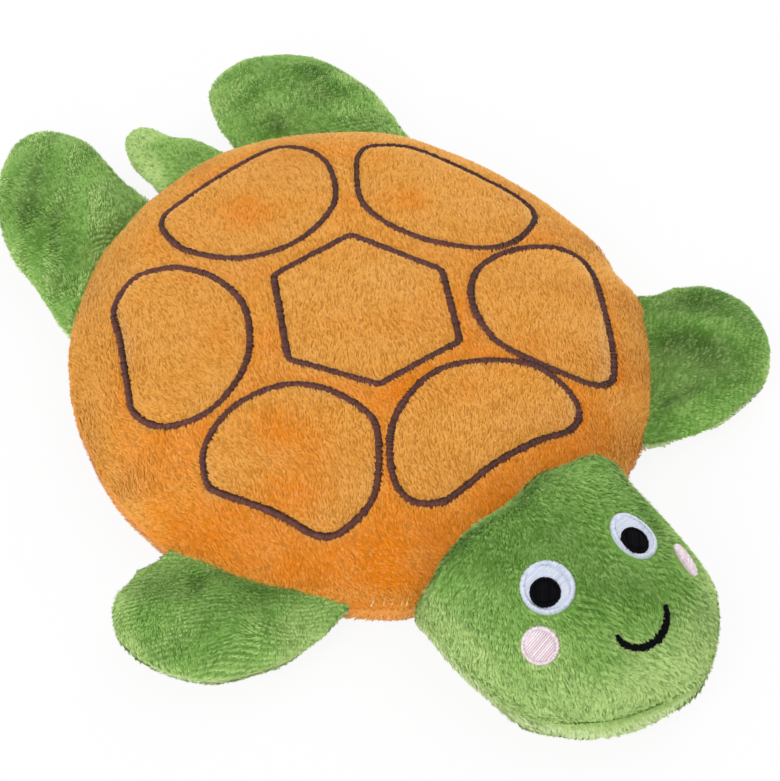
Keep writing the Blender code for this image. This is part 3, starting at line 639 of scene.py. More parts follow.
def plush(name, root, tip, deep, pale, sheen, sheen_tint):
    """Pile cloth: darker at the roots and flecked, both partly painted shade; painted shade and painted light
    from the tone attribute, and deeper and paler patches at random.
    """
    material, tree, shader = new_look(name)
    tone, fleck = attribute(tree, "tone"), attribute(tree, "fleck")
    colour = mix_colour(tree, attribute(tree, "tip"), root, tip)
    layers = (
        (ramp(tree, tone, 0.0, 1.0), deep),
        (ramp(tree, tone, 0.0, -1.0), pale),
        # Painted shadow: the deepest creases and hollows go darker still.
        (ramp(tree, tone, 1.0, 2.0), tuple(0.35 * c for c in deep)),
        (ramp(tree, noise(tree, 75.0), 0.35, 0.75, 0.0, 0.22), pale),
        (ramp(tree, noise(tree, 900.0, 2.0), 0.3, 0.7, 0.0, 0.14), deep),
        (ramp(tree, fleck, 0.45, 1.0, 0.0, 0.34), pale),
        # Darker flecks: random, and partly painted shade between the tufts.
        (ramp(tree, fleck, 0.50, 0.0, 0.0, 0.75), tuple(0.66 * c for c in root)))
    for share, other in layers:
        colour = mix_colour(tree, share, colour, other)
    fill_inputs(tree, shader, {
        "Base Color": colour, "Roughness": 0.85, "Specular IOR Level": 0.15, "Sheen Weight": sheen,
        "Sheen Roughness": 0.45, "Sheen Tint": sheen_tint,
        "Normal": bump(tree, noise(tree, 1600.0), 0.5, 0.0004)})
    return material


def thread(name, colour, dark_and_shade, sheen, roughness=0.5, specular=0.35):
    """Embroidery thread: twisted plies, a little change from stitch to stitch, and painted shade where the
    fleck attribute carries it.
    """
    material, tree, shader = new_look(name)
    tint = mix_colour(tree, ramp(tree, attribute(tree, "fleck"), 0.0, 1.3, 0.0, 0.98), colour, dark_and_shade)
    tint = mix_colour(tree, ramp(tree, noise(tree, 1400.0), 0.35, 0.7, 0.0, 0.5), tint, dark_and_shade)
    plies = texture(tree, "TexWave", Scale=900.0, Distortion=1.5)
    plies.bands_direction = "DIAGONAL"
    fill_inputs(tree, shader, {
        "Base Color": tint, "Roughness": roughness, "Specular IOR Level": specular, "Sheen Weight": sheen,
        "Sheen Roughness": 0.4, "Normal": bump(tree, plies.outputs["Fac"], 0.35, 0.0001)})
    return material


LOOKS = {
    "orange_plush": plush("orange_plush_look", (0.76, 0.31, 0.038), (0.94, 0.45, 0.080), (0.91, 0.27, 0.003),
                          (0.98, 0.59, 0.20), 0.25, (1.0, 0.70, 0.35)),
    "belly_plush": plush("belly_plush_look", (0.90, 0.45, 0.20), (0.98, 0.56, 0.29), (0.92, 0.34, 0.020),
                         (1.0, 0.68, 0.44), 0.25, (1.0, 0.8, 0.6)),
    "green_plush": plush("green_plush_look", (0.16, 0.36, 0.052), (0.315, 0.60, 0.128), (0.105, 0.260, 0.034),
                         (0.60, 0.81, 0.29), 0.30, (0.75, 1.0, 0.55)),
    "lime_plush": plush("lime_plush_look", (0.42, 0.62, 0.18), (0.62, 0.82, 0.32), (0.12, 0.26, 0.035),
                        (0.76, 0.90, 0.46), 0.30, (0.85, 1.0, 0.6)),
    # The brown thread's near-black colour is painted shade on the scute lines, and its lighter colour their lit
    # side.
    "brown_thread": thread("brown_thread_look", (0.23, 0.075, 0.060), (0.016, 0.003, 0.002), 0.1, 0.45, 0.30),
    "white_thread": thread("white_thread_look", (0.76, 0.80, 0.89), (0.58, 0.64, 0.78), 0.1),
    "black_thread": thread("black_thread_look", (0.006, 0.006, 0.008), (0.002, 0.002, 0.003), 0.0, 0.75, 0.05),
    "pink_thread": thread("pink_thread_look", (0.95, 0.86, 0.89), (0.76, 0.58, 0.65), 0.1),
    "cream_thread": thread("cream_thread_look", (0.94, 0.66, 0.40), (0.86, 0.46, 0.18), 0.1),
}


def cells(points, size, seed):
    """For each point, the middle of its jittered cell and three random numbers of that cell."""
    grid = np.floor(points / size).astype(np.int64)
    mixed = (grid[:, 0] * 73856093) ^ (grid[:, 1] * 19349663) ^ (grid[:, 2] * 83492791) ^ (seed * 2654435761)
    values = []
    for k in range(6):
        mixed = (mixed * 6364136223846793005 + 1442695040888963407 + k) & 0x7FFFFFFFFFFFFFFF
        values.append(((mixed >> 33) & 0xFFFFFF) / float(0x1000000))
    values = np.stack(values, axis=1)
    return (grid + 0.2 + 0.6 * values[:, :3]) * size, values[:, 3:]


def wander(points, size, seed):
    """Smooth random numbers from -1 to 1, three for each point."""
    rng = np.random.default_rng(seed)
    total = np.zeros((len(points), 3))
    for _ in range(7):
        way = rng.normal(size=3)
        way *= 2 * math.pi / size / np.linalg.norm(way) * rng.uniform(0.6, 1.5)
        total += np.sin(points @ way + rng.uniform(0, 6.28))[:, None] * rng.normal(size=3) * 0.5
    return total


def pile(name, panel, slot, seed, nap, keep, grow, tone, density, length, width, clump, wild, rough,
         streak=SHELL_NAP, stretch=2.2, lit=0.15):
    """Tapered strands rooted all over a panel, leaning with the nap and drawn into narrow tufts."""
    rng = np.random.default_rng(seed)
    panel.calc_loop_triangles()
    co, no = coordinates(panel), vertex_normals(panel)
    tris = np.array([t.vertices[:] for t in panel.loop_triangles])
    a, b, c = (co[tris[:, k]] for k in range(3))
    area = np.linalg.norm(np.cross(b - a, c - a), axis=1) / 2
    count = int(area.sum() * density)
    pick = rng.choice(len(tris), count, p=area / area.sum())
    u, v = rng.random(count), rng.random(count)
    flip = u + v > 1
    u[flip], v[flip] = 1 - u[flip], 1 - v[flip]
    w = 1 - u - v
    root = a[pick] * w[:, None] + b[pick] * u[:, None] + c[pick] * v[:, None]
    out = no[tris[pick, 0]] * w[:, None] + no[tris[pick, 1]] * u[:, None] + no[tris[pick, 2]] * v[:, None]
    out = unit(out)
    held = keep(root, out)
    root, out = root[held], out[held]
    count = len(root)
    size = length * rng.uniform(0.75, 1.2, count) * grow(root, out)
    way = nap(root, out) + wander(root, 28.0, seed + 1) * 0.35
    way = unit(way - out * dots(way, out))
    along = unit(np.asarray(streak, float))
    middle, chance = cells(root - along * ((root @ along) * (1 - 1 / stretch))[:, None], clump, seed + 2)
    middle += along * ((middle @ along) * (stretch - 1))[:, None]
    ahead = out * math.cos(LEAN) + way * math.sin(LEAN)
    ahead += (chance - 0.5) * 0.3 + rng.normal(size=(count, 3)) * wild
    ahead = unit(ahead)
    upright = dots(ahead, out)
    ahead += out * (np.clip(upright, *UPRIGHT) - upright)
    pull = middle - root
    pull -= out * dots(pull, out) + along * (pull @ along)[:, None] * 0.8
    tip = root + ahead * size[:, None] + pull * TIP_PULL
    stand = dots(ahead, out) * out
    waist = root + (ahead * WAIST + stand * WAIST_RISE) * size[:, None] + pull * WAIST_PULL
    aside = unit(np.cross(out + rng.normal(size=(count, 3)) * 0.12, ahead))
    half = (width / 2 * rng.uniform(0.7, 1.25, count))[:, None]
    foot = root - ahead * FOOT_DEPTH - out * 0.1
    points = np.stack([foot, waist - aside * half, waist + aside * half, tip], axis=1).reshape(-1, 3)
    points[:, 2] = np.maximum(points[:, 2], 0.05)
    first = np.arange(count) * 4
    faces = np.concatenate([np.stack([first, first + 1, first + 2], 1),
                            np.stack([first + 2, first + 1, first + 3], 1)])
    mesh = quick_mesh(name, points * MM, faces)
    shade = np.cross(ahead, aside)
    shade *= np.sign(dots(shade, out))
    shade = out * 0.88 + shade * 0.12 + (chance - 0.5) * rough
    shade[:, 2] += lit * smoothstep(-0.5, 0.2, out[:, 2])
    mesh.normals_split_custom_set_from_vertices(np.repeat(unit(shade), 4, axis=0).tolist())
    add_values(mesh, "tip", np.tile((0.0, 0.55, 0.55, 1.0), count))
    fleck = np.clip(chance[:, 0] * 0.7 + rng.random(count) * 0.3, 0, 1)
    add_values(mesh, "fleck", np.repeat(fleck, 4))
    add_values(mesh, "tone", np.repeat(tone(root, out), 4))
    flat_uv(mesh)
    return finished(name, mesh, slot)


def quick_mesh(name, points, faces):
    """A mesh of equal faces, from arrays."""
    faces = np.asarray(faces, np.int32)
    sides = faces.shape[1]
    mesh = bpy.data.meshes.new(name)
    mesh.vertices.add(len(points))
    mesh.vertices.foreach_set("co", np.asarray(points, np.float32).ravel())
    mesh.loops.add(faces.size)
    mesh.loops.foreach_set("vertex_index", faces.ravel())
    mesh.polygons.add(len(faces))
    mesh.polygons.foreach_set("loop_start", np.arange(0, faces.size, sides, dtype=np.int32))
    mesh.polygons.foreach_set("loop_total", np.full(len(faces), sides, np.int32))
    mesh.polygons.foreach_set("use_smooth", np.ones(len(faces), bool))
    mesh.update(calc_edges=True)
    return mesh


def add_values(mesh, name, values):
    layer = mesh.attributes.new(name, "FLOAT", "POINT")
    layer.data.foreach_set("value", np.asarray(values, np.float32))


def ribs(points, way, pitch, seed):
    """Soft wavering rows from -1 to 1, as brushed pile shows."""
    drift = wander(points, 14.0, seed)
    turns = (points @ unit(np.asarray(way, float)) + 0.4 * drift[:, 0]) / pitch
    return np.sin(2 * math.pi * turns) * smoothstep(-1.2, 0.4, drift[:, 1])


def flat_uv(mesh):
    """A map seen from above, which gives strands their patch of colour when it is baked."""
    co = coordinates(mesh)
    span = max(np.ptp(co[:, 0]), np.ptp(co[:, 1])) * 1.02
    index = np.zeros(len(mesh.loops), np.int32)
    mesh.loops.foreach_get("vertex_index", index)
    uv = (co[:, :2] - co[:, :2].min(axis=0)) / span + 0.01
    layer = mesh.uv_layers.new(name="OFBake")
    layer.data.foreach_set("uv", uv[index].astype(np.float32).ravel())


def tubes(name, paths, ups, radius, slot, seed, dark_and_shade=None):
    """Threads along paths (threads, points, 3), tapering where they dive into the cloth; painted shade values,
    where given, set how much each point of a stitch is darkened.
    """
    paths, ups = np.asarray(paths, float), np.asarray(ups, float)
    count, length, _ = paths.shape
    ahead = unit(np.gradient(paths, axis=1))
    aside = unit(np.cross(ups, ahead))
    over = np.cross(ahead, aside)
    taper = radius * np.sqrt(np.maximum(1 - np.linspace(-1, 1, length) ** 6, 0.02))[None, :, None, None]
    side = np.arange(THREAD_SIDES)
    turn = (side * 2 * math.pi / THREAD_SIDES)[None, None, :, None]
    rings = (paths[:, :, None, :] + aside[:, :, None, :] * (np.cos(turn) * taper)
             + over[:, :, None, :] * (np.sin(turn) * taper * THREAD_FLATNESS))
    points = rings.reshape(-1, 3)
    base = (np.arange(count) * length * THREAD_SIDES)[:, None, None]
    row = base + (np.arange(length - 1) * THREAD_SIDES)[None, :, None]
    near, far = row + side, row + (side + 1) % THREAD_SIDES
    quads = np.stack([near, far, far + THREAD_SIDES, near + THREAD_SIDES], -1)
    mesh = quick_mesh(name, points * MM, quads.reshape(-1, 4)[:, ::-1])
    rng = np.random.default_rng(seed)
    fleck = np.repeat(rng.random(count)[:, None], length, axis=1)
    if dark_and_shade is not None:
        fleck = np.clip(dark_and_shade + (fleck - 0.5) * 0.35, 0, 1.3)
    add_values(mesh, "fleck", np.repeat(fleck.ravel(), THREAD_SIDES))
    return finished(name, mesh, slot)


def laid_on(tree, flat):
    """Places and outward directions on a body under places seen from above."""
    places, normals = [], []
    for x, y in flat:
        hit = tree.ray_cast(Vector((x, y, 80.0)), Vector((0, 0, -1)))
        places.append(np.array(hit[0]))
        normals.append(np.array(hit[1]))
    return np.array(places), np.array(normals)


def smooth_rows(values, closed, rounds):
    """Rows evened out with their neighbours."""
    for _ in range(rounds):
        if closed:
            values = (np.roll(values, 1, axis=0) + values * 2 + np.roll(values, -1, axis=0)) / 4
        else:
            inner = (values[:-2] + values[1:-1] * 2 + values[2:]) / 4
            values = np.vstack([values[:1], inner, values[-1:]])
    return values


def satin(tree, flat, closed, half, pitch, lift, seed, slant=0.25, jag=0.12):
    """Stitches side by side across a line: paths and outward directions."""
    curve = np.asarray(flat, float)
    whole = np.vstack([curve, curve[:1]]) if closed else curve
    count = int(np.linalg.norm(np.diff(whole, axis=0), axis=1).sum() / pitch)
    places, normals = laid_on(tree, even_points(curve, count, closed))
    places = smooth_rows(places, closed, 3)
    normals = unit(smooth_rows(normals, closed, 4))
    if closed:
        ahead = np.roll(places, -1, axis=0) - np.roll(places, 1, axis=0)
    else:
        ahead = np.gradient(places, axis=0)
    ahead = unit(ahead)
    aside = np.cross(normals, ahead)
    rng = np.random.default_rng(seed)
    halves = np.interp(np.linspace(0, 1, count), np.linspace(0, 1, len(half)), half)
    halves = halves * rng.uniform(1 - jag, 1 + jag, count) * np.where(rng.random(count) < 0.4, 1.28, 1.0)
    across = np.linspace(-1, 1, STITCH_STEPS)
    arch = 1 - across ** 2
    rise = lift * rng.uniform(0.85, 1.15, count)
    skew = slant * rng.uniform(0.6, 1.4, count)
    paths = (places[:, None, :] + aside[:, None, :] * (halves[:, None] * across)[:, :, None]
             + ahead[:, None, :] * (skew[:, None] * across)[:, :, None]
             + normals[:, None, :] * (rise[:, None] * arch - STITCH_SINK * (1 - arch))[:, :, None])
    return paths, np.repeat(normals[:, None, :], STITCH_STEPS, axis=1)


def fill_stitches(place_of, radius, turn, pitch, lift, seed, steps=14):
    """Stitches side by side that fill a round patch: paths and outward directions."""
    rng = np.random.default_rng(seed)
    rows = np.arange(-radius + pitch * 0.6, radius - pitch * 0.4, pitch)
    paths, ups = [], []
    c, s = math.cos(turn), math.sin(turn)
    for row in rows:
        half = math.sqrt(max(radius ** 2 - row ** 2, 0.01))
        along = np.linspace(-half, half, steps)
        flat = np.column_stack([along * c - row * s, along * s + row * c])
        places, normals = place_of(flat)
        share = np.linspace(-1, 1, steps)
        dive = np.clip((np.abs(share) - 0.86) / 0.14, 0, 1)
        height = lift * rng.uniform(0.92, 1.08) - dive * (lift + 0.35)
        paths.append(places + normals * height[:, None])
        ups.append(normals)
    return np.array(paths), np.array(ups)


def backing(place_of, radius, lift, steps, slot):
    """The padded ground under a patch of stitches."""
    shares = [1.0, 0.985, 0.93, 0.75, 0.5, 0.25]
    heights = [-0.4, lift * 0.55, lift, lift, lift, lift]
    points = []
    for share, height in zip(shares, heights):
        turn = np.arange(steps) * 2 * math.pi / steps
        places, normals = place_of(np.column_stack([np.cos(turn), np.sin(turn)]) * radius * share)
        points.append(places + normals * height)
    place, normal = place_of(np.zeros((1, 2)))
    points.append(place + normal * lift)
    points = np.concatenate(points)
    faces = []
    for ring in range(len(shares) - 1):
        for step in range(steps):
            n = (step + 1) % steps
            here, inner = ring * steps, (ring + 1) * steps
            faces.append((here + step, here + n, inner + n, inner + step))
    last = (len(shares) - 1) * steps
    faces += [(last + step, last + (step + 1) % steps, len(points) - 1) for step in range(steps)]
    mesh = bpy.data.meshes.new("ground")
    mesh.from_pydata((points * MM).tolist(), [], faces)
    shade_smooth(mesh)
    add_values(mesh, "fleck", np.full(len(points), 0.8))
    return finished("ground", mesh, slot)


def ring_stitches(place_of, radius, half, lift, seed, slot):
    """Satin stitches across a ring."""
    rng = np.random.default_rng(seed)
    count = int(2 * math.pi * radius / RING_PITCH)
    across = np.linspace(-1, 1, STITCH_STEPS)
    arch = 1 - np.abs(across) ** 3
    paths, ups = [], []
    for k in range(count):
        turn = 2 * math.pi * k / count
        skew = rng.uniform(-0.05, 0.05)
        reach = radius + across * half * rng.uniform(0.92, 1.1)
        angle = turn + (0.06 + skew) * across
        flat = np.column_stack([np.cos(angle), np.sin(angle)]) * reach[:, None]
        places, normals = place_of(flat)
        height = lift * arch * rng.uniform(0.92, 1.08) - 0.1 * (1 - arch)
        paths.append(places + normals * height[:, None])
        ups.append(normals)
    return tubes("ring", paths, ups, RING_THREAD, slot, seed)


def joined(name, objects, slot):
    """One piece of several meshes of the same finish."""
    bm = bmesh.new()
    for obj in objects:
        bm.from_mesh(obj.data)
    mesh = bpy.data.meshes.new(name)
    bm.to_mesh(mesh)
    bm.free()
    shade_smooth(mesh)
    for obj in objects:
        bpy.data.objects.remove(obj)
    return finished(name, mesh, slot)


def stitched_patch(name, part, place_of):
    """A round patch of thread: padded ground, rows across it and a ring round its edge."""
    slot, ground, rows, thread_radius, seed, ring = PATCHES[part]
    paths, ups = fill_stitches(place_of, *rows)
    layers = [backing(place_of, *ground, slot), tubes("rows", paths, ups, thread_radius, slot, seed),
              ring_stitches(place_of, *ring, slot)]
    piece = joined(name + "_" + part + "_thread", layers, slot)
    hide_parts(name + "_" + part)
    return piece


def steady(*way):
    """A nap that runs the same way everywhere."""
    return lambda points, normals: np.tile(np.array(way), (len(points), 1))


def add_cloth(name, panel, slot, tone):
    """A panel of cloth under its pile."""
    co, no = coordinates(panel), vertex_normals(panel)
    # Mostly the root colour: the cloth under the strands is partly painted shade.
    add_values(panel, "tip", np.full(len(co), 0.15))
    add_values(panel, "fleck", np.full(len(co), 0.3))
    add_values(panel, "tone", tone(co, no))
    copy = panel.copy()
    copy.name = name
    copy.transform(Matrix.Diagonal((MM, MM, MM, 1)))
    obj = finished(name, copy, slot)
    return obj


def green_cover(name, panels, tones, seeds, stretches, strands, **common):
    """The cloth and pile of a green body: two panels and the strands on each."""
    top, bottom = panels
    cloth = add_cloth(name + "_top_plush", top, "green_plush", tones[0])
    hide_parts(name + "_top_panel", name + "_filling")
    under = add_cloth(name + "_bottom_plush", bottom, "lime_plush", tones[1])
    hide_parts(name + "_bottom_panel")
    fur = pile(name + "_top_pile", top, "green_plush", seeds[0], tone=tones[0],
               stretch=stretches[0], lit=0.25, **strands, **common)
    under_fur = pile(name + "_bottom_pile", bottom, "lime_plush", seeds[1], tone=tones[1],
                     stretch=stretches[1], lit=0.5, **UNDER_STRANDS, **common)
    return [cloth, under, fur, under_fur]


def line_distance(flat_paths, points):
    """Distance in plan from points to the nearest of some lines."""
    lines = np.concatenate([even_points(p, int(len(p) * 6), True) for p in flat_paths])
    tree = KDTree(len(lines))
    for index, (x, y) in enumerate(lines):
        tree.insert((x, y, 0), index)
    tree.balance()
    return np.array([tree.find((x, y, 0))[2] for x, y in points[:, :2]])


def inside_path(path, points):
    """True where a point lies inside a closed line, both seen from above."""
    a, b = path, np.roll(path, -1, axis=0)
    x, y = points[:, 0], points[:, 1]
    inside = np.zeros(len(points), bool)
    for (ax, ay), (bx, by) in zip(a, b):
        if ay != by:
            crosses = (ay > y) != (by > y)
            inside ^= crosses & (x < (bx - ax) * (y - ay) / (by - ay) + ax)
    return inside


def scute_paths():
    """The closed embroidered lines on the shell, seen from above."""
    half = np.array((HALF_WIDTH, HALF_LENGTH))
    paths = {"centre": rounded_corners(np.array(HEXAGON) * half, 2.0)}
    for name, shares in SCUTES.items():
        paths[name] = even_points(spline(np.array(shares) * half, True), 160, True)
    return paths


def build_shell():
    angles = np.arange(SHELL_CORNERS) * 360 / SHELL_CORNERS
    outline = bulged(np.array([rim(a) for a in angles]), angles, SHELL_BULGE)
    points, faces = pillow(outline, (0, 0), SHELL_RISE, BELLY_DROP, [SHELL_SHARE] * SHELL_CORNERS,
                           [FLAT_SHARE] * SHELL_CORNERS, wall=0.1, rings=40, spread=0.9)
    mesh = largest_island(stuffed(points, faces, voxel=2.0, inset=0.2, edge_inset=0.3))
    press_seam(mesh, 1.1, 0.9)
    paths = scute_paths()
    co = coordinates(mesh)
    under_line = hump(line_distance(paths.values(), co), 0, GROOVE_WIDTH)
    groove = GROOVE_DEPTH * under_line * smoothstep(12, 14, co[:, 2])
    set_coordinates(mesh, co - vertex_normals(mesh) * groove[:, None])
    top, bottom = split_at_seam(mesh, "shell")
    tree = tree_of(mesh)
    painted_shade_spots = found_spots(tree, SHADE_AND_LIGHT_SPOTS["shell"])

    def tone(points, normals):
        """Deeper between the scutes, most towards the front, and on the near side; painted light on the far,
        right and left sides and on a lip above the seam; painted shade in the spots; paler just below the
        lines.
        """
        value = spots_of(painted_shade_spots, points)
        facing = normals @ np.array((-0.62, -0.78, 0.0))
        front = points[:, :2] @ np.array((-0.35, -0.94))
        within = np.zeros(len(points), bool)
        for path in paths.values():
            within |= inside_path(path, points)
        value += np.where(within, 0.02, 0.30 + 0.55 * smoothstep(-25, 55, front))
        value += 0.10 * smoothstep(0.25, 0.7, facing)
        # Painted light: paler on a lip just above the seam, on the near side.
        value -= 0.35 * hump(points[:, 2] - SEAM, 3.2, 1.8) * smoothstep(0.3, 0.7, facing)
        # Painted light: paler on the far, right and left sides.
        value -= 0.85 * smoothstep(0.2, 0.8, normals @ AWAY) + 0.80 * smoothstep(0.3, 0.8, normals @ ASIDE)
        value -= 0.50 * smoothstep(0.3, 0.8, -(normals @ ASIDE))
        near = line_distance(paths.values(), points)
        below = near - line_distance(paths.values(), points + AWAY * 0.8)
        value -= 0.55 * hump(near, 1.2, 0.7) * smoothstep(0.2, 0.7, below)
        value += 0.14 * wander(points, 18.0, 5)[:, 0]
        return np.clip(value, -0.8, 1)

    def short_at_seam(points):
        return 0.35 + 0.65 * smoothstep(0.4, 1.8, np.abs(points[:, 2] - SEAM))

    def keep(points, normals):
        return line_distance(paths.values(), points) > 0.7

    def keep_under(points, normals):
        return points[:, 2] > 0.25

    def grow(points, normals):
        near = line_distance(paths.values(), points)
        return (0.8 + 0.2 * smoothstep(0.8, 2.2, near)) * short_at_seam(points)

    def grow_under(points, normals):
        return short_at_seam(points) * (0.4 + 0.6 * smoothstep(1.5, 4.5, points[:, 2]))

    def tone_under(points, normals):
        value = 1.35 * smoothstep(3.6, 5.6, points[:, 2]) - 0.35
        return value + 0.1 * wander(points, 18.0, 6)[:, 0]

    cloth = add_cloth("shell_top_plush", top, "orange_plush", tone)
    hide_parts("shell_top_panel", "shell_filling")
    under = add_cloth("shell_bottom_plush", bottom, "belly_plush", tone_under)
    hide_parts("shell_bottom_panel")
    furs = [pile("shell_top_pile_" + part, top, "orange_plush", seed, steady(*SHELL_NAP),
                 lambda p, n, way=way: keep(p, n) & (p[:, 1] * way >= 0), grow, tone, **SHELL_STRANDS)
            for part, way, seed in (("front", -1, 11), ("rear", 1, 13))]
    furs.append(pile("shell_bottom_pile", bottom, "belly_plush", 12, steady(*BELLY_NAP),
                     keep_under, grow_under, tone_under, lit=0.5, **BELLY_STRANDS))
    for piece in [cloth, under] + furs:
        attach(piece, "shell")
    for index, (name, path) in enumerate(paths.items()):
        half = 1.12 - 0.40 * smoothstep(15, 60, path @ AWAY[:2])
        stitches, ups = satin(tree, path, True, half, SCUTE_PITCH, LINE_LIFT, 40 + index, jag=0.14)
        # Painted shade and painted highlight: each scute line is darker on its upper right side and lighter on
        # its lower left.
        centre = stitches.mean(axis=1, keepdims=True)
        dark_and_shade = 0.72 + 1.1 * ((stitches - centre) @ (AWAY * 0.8 + ASIDE * 0.5)) / half.mean()
        piece = tubes("scute_line_thread_" + name, stitches, ups, SCUTE_THREAD, "brown_thread",
                      60 + index, dark_and_shade)
        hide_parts("scute_line_" + name)
        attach(piece, "shell")
    return tree


def build_closing_stitches(tree):
    rng = np.random.default_rng(77)
    paths, ups = [], []
    for angle in CLOSING_ANGLES:
        centre = rim(angle)
        outward = np.array((*unit(centre), 0.0))
        along = np.cross((0, 0, 1), outward)
        lean = rng.uniform(0.2, 0.7)
        stand = rng.uniform(-0.1, 0.3)
        path = []
        for height in np.linspace(-CLOSING_REACH, CLOSING_REACH, 7):
            slant = lean * height / CLOSING_REACH
            at = np.array((*centre, CLOSING_HEIGHT + height)) + along * slant
            hit = tree.ray_cast(Vector(at + outward * 12), Vector(-outward))
            swell = 1.0 - (height / CLOSING_REACH) ** 2
            path.append(np.array(hit[0]) + outward * (stand + 0.45 * swell - 0.1))
        paths.append(path)
        ups.append([outward] * len(path))
    piece = tubes("closing_stitches", paths, ups, CLOSING_THREAD, "cream_thread", 78)
    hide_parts(*("closing_stitch_%d" % k for k in range(1, 6)))
    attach(piece, "shell")


def head_plan(across, along):
    """Places in plan from distances across and along the head."""
    c, s = math.cos(HEAD_TURN), math.sin(HEAD_TURN)
    across, along = np.asarray(across, float), np.asarray(along, float)
    return np.stack([HEAD_X + across * c - along * s, HEAD_Y + across * s + along * c], axis=-1)


def smooth_normal(tree, centre, reach):
    """The outward direction of a body, averaged round a place seen from above."""
    turn = np.arange(12) * math.pi / 6
    ring = centre + np.column_stack([np.cos(turn), np.sin(turn)]) * reach
    _, normals = laid_on(tree, np.vstack([ring, [centre]]))
    return unit(normals.sum(axis=0))


def build_head():
    turn = np.arange(HEAD_CORNERS) * 2 * math.pi / HEAD_CORNERS
    bend = 2 / HEAD_SQUARE
    across = np.sign(np.cos(turn)) * np.abs(np.cos(turn)) ** bend * HEAD_HALF
    length = np.where(np.sin(turn) > 0, HEAD_TUCK, HEAD_FRONT)
    along = np.sign(np.sin(turn)) * np.abs(np.sin(turn)) ** bend * length
    outline = bulged(head_plan(across, along), np.degrees(turn), HEAD_BULGE)
    points, faces = pillow(outline, (HEAD_X, HEAD_Y), HEAD_RISE, SEAM - UNDER_FLOOR_GAP,
                           [HEAD_SHARE] * HEAD_CORNERS, [BELLY_SHARE] * HEAD_CORNERS,
                           wall=0.1, floor=UNDER_FLOOR_GAP, rings=24)
    points = clear_of_shell(points)
    mesh = largest_island(stuffed(points, faces, voxel=1.7, inset=0.2, edge_inset=0.2, seam=CHIN_SEAM))
    dent(mesh, DENTS["head"])

    def crease(points):
        """How deep the chin's seam is drawn in: only on one side."""
        return smoothstep(44, 62, points @ ASIDE)

    press_seam(mesh, 2.3, 0.9, CHIN_SEAM, crease)
    top, bottom = split_at_seam(mesh, "head", CHIN_SEAM)
    tree = tree_of(mesh)

    def patch(px, py, narrow=1.0):
        """Places on the face, at distances along the cloth from what a pixel shows."""
        centre = seen_at(tree, px, py)[0][:2]
        normal = smooth_normal(tree, centre, 2.5)
        right = square_to(np.array((math.cos(HEAD_TURN), math.sin(HEAD_TURN), 0.0)), normal)
        up = np.cross(normal, right)
        middle = laid_on(tree, centre[None])[0][0]

        def place_of(flat):
            spots = middle + flat[:, :1] * right * narrow + flat[:, 1:] * up
            places = np.array([tree.find_nearest(Vector(spot))[0] for spot in spots])
            return places, np.tile(normal, (len(flat), 1))
        return place_of

    mouth = even_points(spline([seen_at(tree, *p)[0][:2] for p in SMILE], False), SMILE_STEPS, False)
    mouth_half = np.interp(np.linspace(0, 1, SMILE_STEPS), *SMILE_HALF)
    mouth_places, _ = laid_on(tree, mouth)
    bare = [(place, half * 0.85) for place, half in zip(mouth_places, mouth_half)]
    for part, radius in (("eye_white", 6.4), ("cheek", 4.2)):
        for place in PATCH_PLACES[part].values():
            bare.append((patch(*place)(np.zeros((1, 2)))[0][0], radius))
    spots = found_spots(tree, SHADE_AND_LIGHT_SPOTS["head"])

    def patch_gap(points):
        """How far points are from the embroidery."""
        gap = np.full(len(points), 99.0)
        for place, radius in bare:
            gap = np.minimum(gap, np.linalg.norm(points - place, axis=1) - radius)
        return gap

    def keep(points, normals):
        return (patch_gap(points) > 0) & ~inside_shell(points, -0.2) & (
            np.abs(points[:, 2] - CHIN_SEAM) > 0.45 * crease(points))

    def grow(points, normals):
        seam = np.abs(points[:, 2] - CHIN_SEAM)
        shut = 0.75 * crease(points) * (1 - smoothstep(0.5, 2.4, seam))
        size = (0.6 + 0.4 * smoothstep(0.0, 2.0, patch_gap(points))) * (1 - shut)
        size *= 1 + 0.32 * ribs(points, HEAD_ROWS, HEAD_ROW_PITCH, 91)
        return size * (0.5 + 0.5 * smoothstep(0.5, 3.5, shell_gap(points)))

    def nap(points, normals):
        way = np.tile(np.array(HEAD_NAP), (len(points), 1))
        way[:, 0] += (points[:, 0] - HEAD_X) / HEAD_HALF * 0.9
        way[:, 2] += 1.1 * hump(points[:, 2] - CHIN_SEAM, 1.0, 1.8)
        return way

    def tone(points, normals):
        """Painted light low down with painted shade high up, painted shade in the chin's crease and painted
        shade and light in the spots; paler at the shell, round the embroidery and in the combed rows.
        """
        value = 0.10 + 0.22 * wander(points, 24.0, 9)[:, 0] + spots_of(spots, points)
        # Painted light: paler low down, deeper high up.
        value += 0.10 * smoothstep(22, 34, points[:, 2])
        value -= 1.15 * (1 - smoothstep(12, 27, points[:, 2]))
        value -= 0.45 * (1 - smoothstep(0.3, 2.5, shell_gap(points)))
        value -= 0.32 * ribs(points, HEAD_ROWS, HEAD_ROW_PITCH, 91)
        value -= 0.35 * (1 - smoothstep(0.2, 1.8, patch_gap(points)))
        # Painted shade in the chin's crease.
        value += 1.5 * crease(points) * hump(points[:, 2], CHIN_SEAM, 0.8)
        return np.clip(value, -1, 1)

    def tone_under(points, normals):
        value = 0.15 * wander(points, 20.0, 10)[:, 0] - 0.7
        # Painted shade in the chin's crease.
        value += 1.5 * crease(points) * hump(points[:, 2], CHIN_SEAM, 0.8)
        return np.clip(value, -1, 1)

